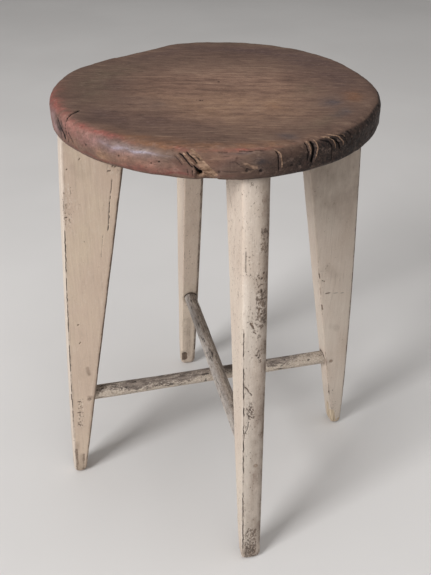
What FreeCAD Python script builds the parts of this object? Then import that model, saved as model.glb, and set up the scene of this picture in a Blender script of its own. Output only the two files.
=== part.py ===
import FreeCAD, Part
import math
import os

import Sketcher

# A four-legged wooden stool. The round seat is one thick board. Each leg is a tapered board set on
# edge, pointing outwards like a spoke, and is joined to the seat by a stub tenon. Two round
# stretchers cross under the seat, one just above the other, and a nail holds each of their ends.
#
# Frame: millimetres, +Z up, origin on the floor under the middle of the stool's footprint.
# +X is towards the right leg, -Y towards the front leg.

DIMENSIONS = {
    # Where the middle of the seat is: the legs don't splay equally, so it is off the origin.
    "centre_x": 2.0,
    "centre_y": 5.0,
    # Seat: a round board with a sawn flat on its rim.
    "seat_top_level": 470.0,
    "seat_thickness": 28.0,
    "seat_radius": 160.0,
    "seat_flat_distance": 145.0,
    "seat_flat_angle": 118.0,
    "seat_flat_blend": 90.0,
    "seat_top_round": 12.0,
    "seat_bottom_round": 4.5,
    # Legs, measured outwards from the middle of the seat.
    "leg_top_outer": 154.5,
    "leg_top_inner": 89.5,
    "leg_top_thickness": 25.4,
    "leg_foot_thickness": 21.6,
    "leg_foot_depth": 14.0,
    "leg_bow": 2.0,
    "leg_outer_round": 3.5,
    "leg_inner_round": 1.5,
    "leg_foot_round": 1.2,
    "foot_outer_right": 174.5,
    "foot_outer_back": 178.5,
    "foot_outer_left": 178.5,
    "foot_outer_front": 188.5,
    "angle_right": 1.2,
    "angle_back": 88.4,
    "angle_left": 181.5,
    "angle_front": 268.7,
    # Stub tenon on each leg, and the play of its mortise.
    "tenon_width": 44.0,
    "tenon_thickness": 16.0,
    "tenon_length": 18.0,
    "tenon_play": 0.1,
    "mortise_spare_depth": 0.5,
    # Stretchers: round bars let into blind sockets in the legs' inner edges.
    "lower_bar_diameter": 16.4,
    "upper_bar_diameter": 15.6,
    "bar_level_left": 115.0,
    "bar_level_right": 109.5,
    "bar_level_front": 133.5,
    "bar_level_back": 131.0,
    "socket_depth": 18.0,
    "socket_play": 0.1,
    # Nails into the stretchers' ends: through a cheek of the side legs, and through the outer edge
    # of the front and back legs.
    "nail_inset": 7.0,
    "nail_offset": 3.0,
    "nail_shank_diameter": 2.2,
    "nail_head_diameter": 4.0,
    "nail_head_thickness": 0.8,
    "nail_length": 19.0,
    "nail_play": 0.05,
}

LEGS = ("right", "back", "left", "front")
# The side legs' nails go in from the cheek that faces the front leg: the side of local Y it is on.
CHEEK_NAILS = {"right": -1, "left": 1}
STRETCHERS = {
    "stretcher_side_to_side": ("left", "right", "lower_bar_diameter"),
    "stretcher_front_to_back": ("front", "back", "upper_bar_diameter"),
}
UP = FreeCAD.Vector(0, 0, 1)
TINY = 1e-4

doc = FreeCAD.newDocument("stool")
sheet = doc.addObject("Spreadsheet::Sheet", "Dimensions")
for row, (name, value) in enumerate(DIMENSIONS.items(), start=1):
    sheet.set(f"A{row}", name)
    sheet.set(f"B{row}", str(value))
    sheet.setAlias(f"B{row}", name)
doc.recompute()


def size(name):
    """A driving dimension, read from the sheet."""
    return float(sheet.get(name))


def cell(name):
    """The same dimension as a term of an expression."""
    return f"Dimensions.{name}"


def plane(body, role):
    """One of a body's own origin planes."""
    return next(f for f in body.Origin.OriginFeatures if f.Role == role)


def new_body(name):
    body = doc.addObject("PartDesign::Body", name)
    body.Label = name
    return body


def new_sketch(body, name, role, lift=None):
    """A sketch on one of the body's origin planes, or lifted off it by an expression."""
    sketch = body.newObject("Sketcher::SketchObject", name)
    sketch.AttachmentSupport = (plane(body, role), "")
    sketch.MapMode = "FlatFace"
    if lift:
        sketch.setExpression("AttachmentOffset.Base.z", lift)
    return sketch


def bind(sketch, constraint, name, expression):
    """Add a named dimension to a sketch and tie it to an expression."""
    index = sketch.addConstraint(constraint)
    sketch.renameConstraint(index, name)
    sketch.setExpression(f"Constraints.{name}", expression)


def closed_outline(sketch, edges):
    """Add edges end to end as one closed outline."""
    ids = [sketch.addGeometry(edge, False) for edge in edges]
    for this, following in zip(ids, ids[1:] + ids[:1]):
        sketch.addConstraint(Sketcher.Constraint("Coincident", this, 2, following, 1))
    return ids


def line(start, end):
    return Part.LineSegment(FreeCAD.Vector(*start, 0), FreeCAD.Vector(*end, 0))


def place_point(sketch, edge, name, across, up):
    """Fix an edge's start point by its distances from the sketch's origin."""
    bind(sketch, Sketcher.Constraint("DistanceX", -1, 1, edge, 1, across[0]), f"{name}_across", across[1])
    bind(sketch, Sketcher.Constraint("DistanceY", -1, 1, edge, 1, up[0]), f"{name}_up", up[1])


def rectangle(sketch, half_across, half_up, centre_across=None):
    """A rectangle by its half sizes, centred on the sketch's origin or moved along its X."""
    reach, reach_expression = half_across
    rise, rise_expression = half_up
    middle, middle_expression = centre_across or (0.0, "0")
    corners = [
        (middle - reach, -rise),
        (middle + reach, -rise),
        (middle + reach, rise),
        (middle - reach, rise),
    ]
    ids = closed_outline(sketch, [line(a, b) for a, b in zip(corners, corners[1:] + corners[:1])])
    for bottom_or_top in (ids[0], ids[2]):
        sketch.addConstraint(Sketcher.Constraint("Horizontal", bottom_or_top))
    for side in (ids[1], ids[3]):
        sketch.addConstraint(Sketcher.Constraint("Vertical", side))
    bind(sketch, Sketcher.Constraint("DistanceX", -1, 1, ids[1], 1, middle + reach), "right",
         f"{middle_expression} + {reach_expression}")
    bind(sketch, Sketcher.Constraint("DistanceX", -1, 1, ids[3], 1, middle - reach), "left",
         f"{middle_expression} - ({reach_expression})")
    bind(sketch, Sketcher.Constraint("DistanceY", ids[0], 1, -1, 1, rise), "below", rise_expression)
    bind(sketch, Sketcher.Constraint("DistanceY", -1, 1, ids[2], 1, rise), "above", rise_expression)


def pad(body, sketch, name, length, both_ways=False):
    feature = body.newObject("PartDesign::Pad", name)
    feature.Profile = sketch
    feature.SideType = "Symmetric" if both_ways else "One side"
    feature.setExpression("Length", length)
    doc.recompute()
    return feature


def fillet(body, base, name, radius, wanted):
    """Round the edges of the last feature that a test picks out."""
    edges = [f"Edge{i}" for i, edge in enumerate(base.Shape.Edges, start=1) if wanted(edge)]
    feature = body.newObject("PartDesign::Fillet", name)
    feature.Base = (base, edges)
    feature.setExpression("Radius", radius)
    doc.recompute()
    return feature


def stand_at(item, angle_name, level=None):
    """Put a sub-part on the stool's middle line, turned about it."""
    item.Placement = FreeCAD.Placement(FreeCAD.Vector(), FreeCAD.Rotation(UP, size(angle_name)))
    item.setExpression("Placement.Base.x", cell("centre_x"))
    item.setExpression("Placement.Base.y", cell("centre_y"))
    item.setExpression("Placement.Rotation.Angle", cell(angle_name))
    if level:
        item.setExpression("Placement.Base.z", level)


def boolean(kind, name, **links):
    item = doc.addObject(kind, name)
    item.Label = name
    for link, value in links.items():
        setattr(item, link, value)
    return item


def cylinder(name, diameter, length):
    item = doc.addObject("Part::Cylinder", name)
    item.setExpression("Radius", f"({diameter}) / 2")
    item.setExpression("Height", length)
    return item


# ---------------------------------------------------------------- seat


def make_seat_board():
    """A disc with a flat on its rim, thick, with a generous round on top and a small one below."""
    body = new_body("seat_blank")
    radius, flat = size("seat_radius"), size("seat_flat_distance")
    half_angle = math.acos(flat / radius)
    sketch = new_sketch(body, "seat_outline", "XY_Plane")
    rim = Part.ArcOfCircle(Part.Circle(FreeCAD.Vector(), UP, radius), half_angle, 2 * math.pi - half_angle)
    chord_end = (radius * math.cos(half_angle), radius * math.sin(half_angle))
    chord_start = (chord_end[0], -chord_end[1])
    arc, chord = closed_outline(sketch, [rim, line(chord_start, chord_end)])
    sketch.addConstraint(Sketcher.Constraint("Coincident", arc, 3, -1, 1))
    sketch.addConstraint(Sketcher.Constraint("Vertical", chord))
    bind(sketch, Sketcher.Constraint("Radius", arc, radius), "rim", cell("seat_radius"))
    bind(sketch, Sketcher.Constraint("DistanceX", -1, 1, chord, 1, flat), "flat", cell("seat_flat_distance"))
    board = pad(body, sketch, "seat_board_pad", cell("seat_thickness"))

    def upright(edge):
        return abs(edge.Vertexes[0].Z - edge.Vertexes[-1].Z) > TINY

    def all_at(level):
        return lambda edge: edge.BoundBox.ZLength < TINY and abs(edge.BoundBox.ZMin - level) < TINY

    board = fillet(body, board, "seat_flat_ends", cell("seat_flat_blend"), upright)
    board = fillet(body, board, "seat_top_edge", cell("seat_top_round"), all_at(size("seat_thickness")))
    fillet(body, board, "seat_bottom_edge", cell("seat_bottom_round"), all_at(0.0))
    stand_at(body, "seat_flat_angle", f"{cell('seat_top_level')} - {cell('seat_thickness')}")
    return body


def make_mortise(leg):
    """The blind slot in the seat's underside that takes one leg's tenon."""
    slot = doc.addObject("Part::Box", f"mortise_{leg}")
    slot.setExpression("Length", f"{cell('tenon_width')} + 2 * {cell('tenon_play')}")
    slot.setExpression("Width", f"{cell('tenon_thickness')} + 2 * {cell('tenon_play')}")
    slot.setExpression("Height", f"{cell('tenon_length')} + {cell('mortise_spare_depth')}")
    middle = (size("leg_top_outer") + size("leg_top_inner")) / 2
    corner = FreeCAD.Vector(
        middle - size("tenon_width") / 2 - size("tenon_play"),
        -size("tenon_thickness") / 2 - size("tenon_play"),
        size("seat_top_level") - size("seat_thickness"),
    )
    slot.Placement = leg_placement(leg) * FreeCAD.Placement(corner, FreeCAD.Rotation())
    return slot


# ---------------------------------------------------------------- legs


def leg_placement(leg):
    middle = FreeCAD.Vector(size("centre_x"), size("centre_y"), 0)
    return FreeCAD.Placement(middle, FreeCAD.Rotation(UP, size(f"angle_{leg}")))


def shoulder_level():
    return size("seat_top_level") - size("seat_thickness")


def inner_edge(leg, level):
    """How far out a leg's inner edge is at a given height."""
    foot = size(f"foot_outer_{leg}") - size("leg_foot_depth")
    return foot + (size("leg_top_inner") - foot) * level / shoulder_level()


def outer_edge(leg, level):
    """How far out a leg's bowed outer edge is at a given height."""
    foot = size(f"foot_outer_{leg}")
    share = level / shoulder_level()
    return foot + (size("leg_top_outer") - foot) * share + 4 * size("leg_bow") * share * (1 - share)


def half_thickness(level):
    top, foot = size("leg_top_thickness"), size("leg_foot_thickness")
    return (foot + (top - foot) * level / shoulder_level()) / 2


def make_leg_board(leg):
    """A leg before its bores. Local X points outwards, Y through the board, Z up."""
    body = new_body(f"leg_{leg}_board")
    shoulder = f"({cell('seat_top_level')} - {cell('seat_thickness')})"
    foot_outer = f"foot_outer_{leg}"
    rise = shoulder_level()

    # Side view: straight inner edge, outer edge bowed outwards by the sagitta leg_bow.
    outer_foot, outer_top = size(foot_outer), size("leg_top_outer")
    inner_foot, inner_top = outer_foot - size("leg_foot_depth"), size("leg_top_inner")
    slant = math.atan2(outer_foot - outer_top, rise)
    belly = (
        (outer_foot + outer_top) / 2 + size("leg_bow") * math.cos(slant),
        rise / 2 + size("leg_bow") * math.sin(slant),
    )
    bowed = Part.Arc(
        FreeCAD.Vector(outer_foot, 0, 0), FreeCAD.Vector(*belly, 0), FreeCAD.Vector(outer_top, rise, 0)
    )
    bow_radius = bowed.toShape().Curve.Radius
    side_view = new_sketch(body, f"{leg}_side_view", "XZ_Plane")
    foot, outer, top, inner = closed_outline(side_view, [
        line((inner_foot, 0), (outer_foot, 0)),
        bowed,
        line((outer_top, rise), (inner_top, rise)),
        line((inner_top, rise), (inner_foot, 0)),
    ])
    chord_squared = f"(({cell(foot_outer)} - {cell('leg_top_outer')})^2 + {shoulder}^2)"
    inner_foot_expression = f"{cell(foot_outer)} - {cell('leg_foot_depth')}"
    place_point(side_view, foot, "inner_foot", (inner_foot, inner_foot_expression), (0.0, "0"))
    side_view.addConstraint(Sketcher.Constraint("Horizontal", foot))
    side_view.addConstraint(Sketcher.Constraint("Horizontal", top))
    bind(side_view, Sketcher.Constraint("DistanceX", foot, 1, foot, 2, size("leg_foot_depth")), "foot_depth",
         cell("leg_foot_depth"))
    place_point(side_view, top, "outer_top", (outer_top, cell("leg_top_outer")), (rise, shoulder))
    bind(side_view, Sketcher.Constraint("DistanceX", inner, 1, top, 1, outer_top - inner_top), "top_width",
         f"{cell('leg_top_outer')} - {cell('leg_top_inner')}")
    bind(side_view, Sketcher.Constraint("Radius", outer, bow_radius), "bow_radius",
         f"{chord_squared} / (8 * {cell('leg_bow')}) + {cell('leg_bow')} / 2")
    board = pad(body, side_view, f"{leg}_board", cell("leg_top_thickness"), both_ways=True)
    sawn_volume = board.Shape.Volume

    # Edge view: a thin wedge planed off each cheek, so that the board thins towards the foot.
    edge_view = new_sketch(body, f"{leg}_edge_view", "YZ_Plane")
    half_top, half_foot = size("leg_top_thickness") / 2, size("leg_foot_thickness") / 2
    spare = 2.0
    for side in (1, -1):
        corners = [
            (side * half_foot, 0),
            (side * (half_top + spare), 0),
            (side * (half_top + spare), rise),
            (side * half_top, rise),
        ]
        ids = closed_outline(edge_view, [line(a, b) for a, b in zip(corners, corners[1:] + corners[:1])])
        words = "near" if side > 0 else "far"
        half_cells = [
            f"{side} * {cell('leg_foot_thickness')} / 2",
            f"{side} * ({cell('leg_top_thickness')} / 2 + {spare})",
            f"{side} * ({cell('leg_top_thickness')} / 2 + {spare})",
            f"{side} * {cell('leg_top_thickness')} / 2",
        ]
        level_cells = ["0", "0", shoulder, shoulder]
        for number, (edge, corner, across, up) in enumerate(zip(ids, corners, half_cells, level_cells)):
            place_point(edge_view, edge, f"{words}_{number}", (corner[0], across), (corner[1], up))
    taper = body.newObject("PartDesign::Pocket", f"{leg}_taper")
    taper.Profile = edge_view
    taper.Type = "ThroughAll"
    taper.SideType = "Symmetric"
    doc.recompute()
    if taper.Shape.Volume > sawn_volume - 1:
        raise RuntimeError(f"the taper cut nothing off leg {leg}")

    middle = (outer_top + inner_top) / 2

    def outer_arris(edge):
        return edge.BoundBox.ZLength > rise - 1 and edge.BoundBox.XMin > middle

    def inner_arris(edge):
        return edge.BoundBox.ZLength > rise - 1 and edge.BoundBox.XMin < middle

    def foot_edge(edge):
        return edge.BoundBox.ZMax < TINY

    rounded = fillet(body, taper, f"{leg}_outer_arrises", cell("leg_outer_round"), outer_arris)
    rounded = fillet(body, rounded, f"{leg}_inner_arrises", cell("leg_inner_round"), inner_arris)
    fillet(body, rounded, f"{leg}_foot_edge", cell("leg_foot_round"), foot_edge)

    # The stub tenon stands on the leg's top end, its shoulder bearing all round on the seat.
    tenon_view = new_sketch(body, f"{leg}_tenon_view", "XY_Plane", lift=shoulder)
    rectangle(
        tenon_view,
        (size("tenon_width") / 2, f"{cell('tenon_width')} / 2"),
        (size("tenon_thickness") / 2, f"{cell('tenon_thickness')} / 2"),
        (middle, f"({cell('leg_top_outer')} + {cell('leg_top_inner')}) / 2"),
    )
    pad(body, tenon_view, f"{leg}_tenon", cell("tenon_length"))
    stand_at(body, f"angle_{leg}")
    return body


# ---------------------------------------------------------------- stretchers and nails


def socket_floor(leg):
    """The middle of the flat bottom of a leg's socket."""
    level = size(f"bar_level_{leg}")
    reach = inner_edge(leg, level) + size("socket_depth")
    return leg_placement(leg).multVec(FreeCAD.Vector(reach, 0, level))


def bar_between(name, first_leg, second_leg, diameter):
    """A round bar that runs from the bottom of one leg's socket to the bottom of the other's."""
    start, end = socket_floor(first_leg), socket_floor(second_leg)
    bar = doc.addObject("Part::Cylinder", name)
    bar.setExpression("Radius", f"({diameter}) / 2")
    bar.Height = (end - start).Length
    bar.Placement = FreeCAD.Placement(start, FreeCAD.Rotation(UP, end - start))
    return bar


def nail_pose(leg):
    """Where a nail enters its leg, with local Z along the nail and into the wood."""
    level = size(f"bar_level_{leg}")
    side = CHEEK_NAILS.get(leg)
    if side:
        reach = inner_edge(leg, level) + size("nail_inset")
        entry = FreeCAD.Vector(reach, side * half_thickness(level), level)
        inwards = FreeCAD.Vector(0, -side, 0)
    else:
        entry = FreeCAD.Vector(outer_edge(leg, level), size("nail_offset"), level)
        inwards = FreeCAD.Vector(-1, 0, 0)
    return leg_placement(leg) * FreeCAD.Placement(entry, FreeCAD.Rotation(UP, inwards))


def nail_parts(prefix, leg, play):
    """A nail's shank and head as two cylinders, or with some play added, its bore."""
    shank_diameter = f"{cell('nail_shank_diameter')} + 2 * {play}"
    head_diameter = f"{cell('nail_head_diameter')} + 2 * {play}"
    shank = cylinder(f"{prefix}_shank_{leg}", shank_diameter, cell("nail_length"))
    head = cylinder(f"{prefix}_head_{leg}", head_diameter, cell("nail_head_thickness"))
    shank.Placement = nail_pose(leg)
    head.Placement = nail_pose(leg)
    return [shank, head]


seat_blank = make_seat_board()
mortises = boolean("Part::MultiFuse", "mortises", Shapes=[make_mortise(leg) for leg in LEGS])
parts = {"seat_board": boolean("Part::Cut", "seat_board", Base=seat_blank, Tool=mortises)}

nail_bores = {
    leg: boolean("Part::MultiFuse", f"nail_bore_{leg}", Shapes=nail_parts("bore", leg, cell("nail_play")))
    for leg in LEGS
}
for name, (first, second, diameter) in STRETCHERS.items():
    socket = bar_between(f"{name}_sockets", first, second, f"{cell(diameter)} + 2 * {cell('socket_play')}")
    bar = bar_between(f"{name}_bar", first, second, cell(diameter))
    pins = boolean("Part::MultiFuse", f"{name}_pin_bores", Shapes=[nail_bores[first], nail_bores[second]])
    parts[name] = boolean("Part::Cut", name, Base=bar, Tool=pins)
    for leg in (first, second):
        bores = boolean("Part::MultiFuse", f"leg_{leg}_bores", Shapes=[socket, nail_bores[leg]])
        parts[f"leg_{leg}"] = boolean("Part::Cut", f"leg_{leg}", Base=make_leg_board(leg), Tool=bores)

nails = [boolean("Part::MultiFuse", f"nail_{leg}", Shapes=nail_parts("nail", leg, "0")) for leg in LEGS]
parts["stretcher_nails"] = boolean("Part::Compound", "stretcher_nails", Links=nails)
doc.recompute()

# ---------------------------------------------------------------- checks and export

for item in doc.Objects:
    if "Invalid" in item.State or "Error" in item.State:
        raise RuntimeError(f"{item.Name} failed: {item.State}")
if not parts["seat_board"].Shape.Volume < seat_blank.Shape.Volume - 1:
    raise RuntimeError("the mortises cut nothing out of the seat")

os.makedirs("parts", exist_ok=True)
for name, item in parts.items():
    if item.Shape.isNull() or not item.Shape.isValid():
        raise RuntimeError(f"{name} has no valid shape")
    item.Shape.exportStep(f"parts/{name}.step")
    box = item.Shape.optimalBoundingBox(False)
    print(f"{name}: {len(item.Shape.Solids)} solid(s), {item.Shape.Volume / 1000:.1f} cm3,"
          f" {box.XMin:.1f}..{box.XMax:.1f}, {box.YMin:.1f}..{box.YMax:.1f}, {box.ZMin:.1f}..{box.ZMax:.1f}")
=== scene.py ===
import math

import bpy
import numpy as np
from mathutils import Matrix, Vector


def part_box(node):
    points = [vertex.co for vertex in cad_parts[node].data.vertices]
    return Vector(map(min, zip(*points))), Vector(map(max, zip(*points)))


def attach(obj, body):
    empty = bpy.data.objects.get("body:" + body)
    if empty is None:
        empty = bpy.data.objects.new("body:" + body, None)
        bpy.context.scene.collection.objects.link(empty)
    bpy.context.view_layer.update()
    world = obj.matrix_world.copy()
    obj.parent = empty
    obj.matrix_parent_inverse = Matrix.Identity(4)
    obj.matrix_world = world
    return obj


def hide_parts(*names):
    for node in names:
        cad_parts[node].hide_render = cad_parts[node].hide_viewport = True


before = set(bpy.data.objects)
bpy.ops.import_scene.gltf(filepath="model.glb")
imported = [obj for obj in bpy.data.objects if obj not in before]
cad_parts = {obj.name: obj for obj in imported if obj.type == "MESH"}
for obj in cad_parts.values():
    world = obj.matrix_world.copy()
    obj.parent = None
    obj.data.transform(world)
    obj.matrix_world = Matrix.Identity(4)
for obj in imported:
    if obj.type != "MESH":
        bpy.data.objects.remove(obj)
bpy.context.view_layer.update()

# The looks of an old farmhouse stool: a round seat of dark worn wood on four board legs with old
# cream paint, and two crossing round stretchers with the paint worn off. Shapes are worked out in
# millimetres and stored in metres. Each piece is a closed skin of rings, worn by repeatable noise
# and by listed marks.

MM = 0.001

# ---------------------------------------------------------------- sizes shared with the CAD frame

MIDDLE = np.array([2.0, 5.0, 0.0])
SEAT_LOW, SEAT_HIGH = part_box("seat_board")
SEAT_TOP = SEAT_HIGH.z / MM
SEAT_UNDERSIDE = SEAT_LOW.z / MM
SEAT_RADIUS = 160.0
SEAT_FLAT_DISTANCE = 145.0
SEAT_FLAT_ANGLE = 118.0
TOP_ROUND = 12.0
TOP_SQUARENESS = 0.82
BOTTOM_ROUND = 4.5
GRAIN_ANGLE = -14.7

LEG_TOP_OUTER, LEG_TOP_INNER = 154.5, 89.5
LEG_TOP_THICKNESS, LEG_FOOT_THICKNESS = 25.4, 21.6
LEG_FOOT_DEPTH = 14.0
LEG_BOW = 2.0
LEG_ANGLES = {"right": 1.2, "back": 88.4, "left": 181.5, "front": 268.7}
FOOT_OUTER = {"right": 174.5, "back": 178.5, "left": 178.5, "front": 188.5}
BAR_LEVELS = {"right": 109.5, "back": 131.0, "left": 115.0, "front": 133.5}
NAIL_INSET = 7.0
NAIL_OFFSET = 3.0

# ---------------------------------------------------------------- repeatable noise


def lattice(cells, seed):
    """A repeatable number from -1 to 1 for each row of whole numbers."""
    n = cells[:, 0] * 374761393 + cells[:, 1] * 668265263 + cells[:, 2] * 1442695041 + seed * 362437
    n = (n ^ (n >> 13)) & 0xFFFFFFFF
    n = (n * 1274126177) & 0xFFFFFFFF
    n = n ^ (n >> 16)
    return n / 0x7FFFFFFF - 1.0


def value_noise(points, seed):
    """Smooth noise from -1 to 1, with features about one unit across."""
    base = np.floor(points).astype(np.int64)
    part = points - base
    part = part * part * (3 - 2 * part)
    total = np.zeros(len(points))
    for corner in np.ndindex(2, 2, 2):
        weight = np.ones(len(points))
        for axis in range(3):
            weight *= part[:, axis] if corner[axis] else 1 - part[:, axis]
        total += weight * lattice(base + np.array(corner), seed)
    return total


def noise(points, scale, seed, octaves=3):
    """Layered noise, about -1 to 1. scale is the feature size along each axis, in millimetres."""
    total = np.zeros(len(points))
    strength, norm = 1.0, 0.0
    shrunk = points / np.asarray(scale, float)
    for octave in range(octaves):
        total += strength * value_noise(shrunk * 2**octave + 17.3 * octave, seed + octave)
        norm += strength
        strength *= 0.5
    return total / norm * 1.5


def smooth_step(low, high, values):
    share = np.clip((values - low) / (high - low), 0, 1)
    return share * share * (3 - 2 * share)


def distance_to_path(points, path):
    """How far each point is from a path of straight runs, and how far along it lies, 0 to 1."""
    best = np.full(len(points), 1e9)
    share = np.zeros(len(points))
    runs = np.linalg.norm(np.diff(path, axis=0), axis=1)
    start = 0.0
    for a, b, run in zip(path[:-1], path[1:], runs):
        t = np.clip((points - a) @ (b - a) / max(run * run, 1e-9), 0, 1)
        away = np.linalg.norm(points - (a + t[:, None] * (b - a)), axis=1)
        nearer = away < best
        best[nearer] = away[nearer]
        share[nearer] = (start + t[nearer] * run) / runs.sum()
        start += run
    return best, share


# ---------------------------------------------------------------- skins


def add_object(name, data):
    made = bpy.data.objects.new(name, data)
    bpy.context.scene.collection.objects.link(made)
    return made


def skin(name, rings, first_pole, last_pole, values, grain):
    """A closed mesh through rings of points, in millimetres, with a fan at each end.

    values holds a number or a colour per point for each named attribute, and grain the point in
    the wood's own coordinates. Poles take the mean of the ring beside them."""
    rows, columns, _ = rings.shape
    points = np.vstack([[first_pole], rings.reshape(-1, 3), [last_pole]]) * MM
    index = 1 + np.arange(rows * columns).reshape(rows, columns)
    here, over = index[:-1], index[1:]
    quads = np.stack([here, np.roll(here, -1, 1), np.roll(over, -1, 1), over], -1).reshape(-1, 4)
    last = len(points) - 1
    first_fan = [(0, int(b), int(a)) for a, b in zip(index[0], np.roll(index[0], -1))]
    last_fan = [(last, int(a), int(b)) for a, b in zip(index[-1], np.roll(index[-1], -1))]
    mesh = bpy.data.meshes.new(name)
    mesh.from_pydata(points.tolist(), [], first_fan + quads.tolist() + last_fan)
    mesh.shade_smooth()
    for key, array in {**values, "grain": grain * MM}.items():
        array = array.reshape(rows, columns, -1)
        flat = np.vstack([array[0].mean(0), array.reshape(rows * columns, -1), array[-1].mean(0)])
        kind, field = ("FLOAT_VECTOR", "vector") if flat.shape[1] == 3 else ("FLOAT", "value")
        layer = mesh.attributes.new(key, kind, "POINT")
        layer.data.foreach_set(field, flat.astype(np.float32).ravel())
    mesh.update()
    return add_object(name, mesh)


def ring_normals(rings):
    """Outward directions of a grid of rings, from the neighbouring points."""
    round_ring = np.roll(rings, -1, 1) - np.roll(rings, 1, 1)
    along = np.gradient(rings, axis=0)
    normals = np.cross(round_ring, along)
    return normals / np.maximum(np.linalg.norm(normals, axis=2, keepdims=True), 1e-9)


# ---------------------------------------------------------------- seat

RIM_ARC = TOP_ROUND * math.pi / 2
SIDE_HEIGHT = SEAT_TOP - SEAT_UNDERSIDE - TOP_ROUND - BOTTOM_ROUND
RIM_END = RIM_ARC + SIDE_HEIGHT + BOTTOM_ROUND * math.pi / 2

# Spacing of the seat's mesh columns in degrees, and how far in from the rim its rows keep the
# rim's outline before they shrink towards the middle.
FINE_COLUMNS, PLAIN_COLUMNS = 0.19, 0.62
KEPT_OUTLINE = 20.0
SHRINK_ON_TOP, SHRINK_BELOW = 128.0, 136.0

# Hollows and swellings of the rim, seen from above: direction in degrees, spread, millimetres.
OUTLINE_SWELLS = [
    (4, 15, -3.0),
    (-36, 20, -1.5),
    (50, 24, 2.6),
    (148, 11, -3.0),
    (139, 2.5, -1.0),
    (-91, 8, 1.0),
    (-160, 14, 1.0),
]

# Stretches of the rim that need a finer mesh: direction in degrees, and half width.
FINE_STRETCHES = [(-109, 8), (-95, 5), (-85, 3), (-69, 11), (-161, 7)]


def turn_between(angle, other):
    return (angle - other + 180) % 360 - 180


def outline(angle):
    """The seat's radius in a direction, in degrees: a circle with a sawn flat and a few swells."""
    slant = np.cos(np.radians(turn_between(angle, SEAT_FLAT_ANGLE)))
    flat = SEAT_FLAT_DISTANCE / np.maximum(slant, 0.3)
    blend = 4.0
    radius = -blend * np.log(np.exp(-(SEAT_RADIUS - 150) / blend) + np.exp(-(flat - 150) / blend)) + 150
    for direction, spread, swell in OUTLINE_SWELLS:
        radius = radius + swell * np.exp(-((turn_between(angle, direction) / spread) ** 2))
    return radius


def rim_point(angle, down):
    """A point on the seat, from its direction and how far over the rim it lies.

    down is 0 where the top edge starts to round over, negative on the flat top inside it, and
    grows over the edge, down the side and under."""
    angle, down = np.broadcast_arrays(np.asarray(angle, float), np.asarray(down, float))
    radius = outline(angle)
    over_top = np.clip(down / TOP_ROUND, 0, math.pi / 2)
    under = np.clip((down - RIM_ARC - SIDE_HEIGHT) / BOTTOM_ROUND, 0, math.pi / 2)
    side = np.clip(down - RIM_ARC, 0, SIDE_HEIGHT)
    inset = TOP_ROUND * (1 - np.sin(over_top) ** TOP_SQUARENESS) + BOTTOM_ROUND * (1 - np.cos(under))
    inset = inset + np.maximum(-down, 0) + np.maximum(down - RIM_END, 0)
    height = SEAT_TOP - TOP_ROUND * (1 - np.cos(over_top) ** TOP_SQUARENESS) - side
    height = height - BOTTOM_ROUND * np.sin(under)
    reach = np.maximum(radius - inset, 0)
    turn = np.radians(angle)
    return np.stack([reach * np.cos(turn), reach * np.sin(turn), height], -1)


def rim_path(*stops):
    """Points along the seat's skin, through stops of direction and distance over the rim."""
    angles, downs = np.array(stops, float).T
    at = np.arange(len(stops))
    steps = np.linspace(0, len(stops) - 1, 5 * (len(stops) - 1) + 1)
    return rim_point(np.interp(steps, at, angles), np.interp(steps, at, downs))


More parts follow.
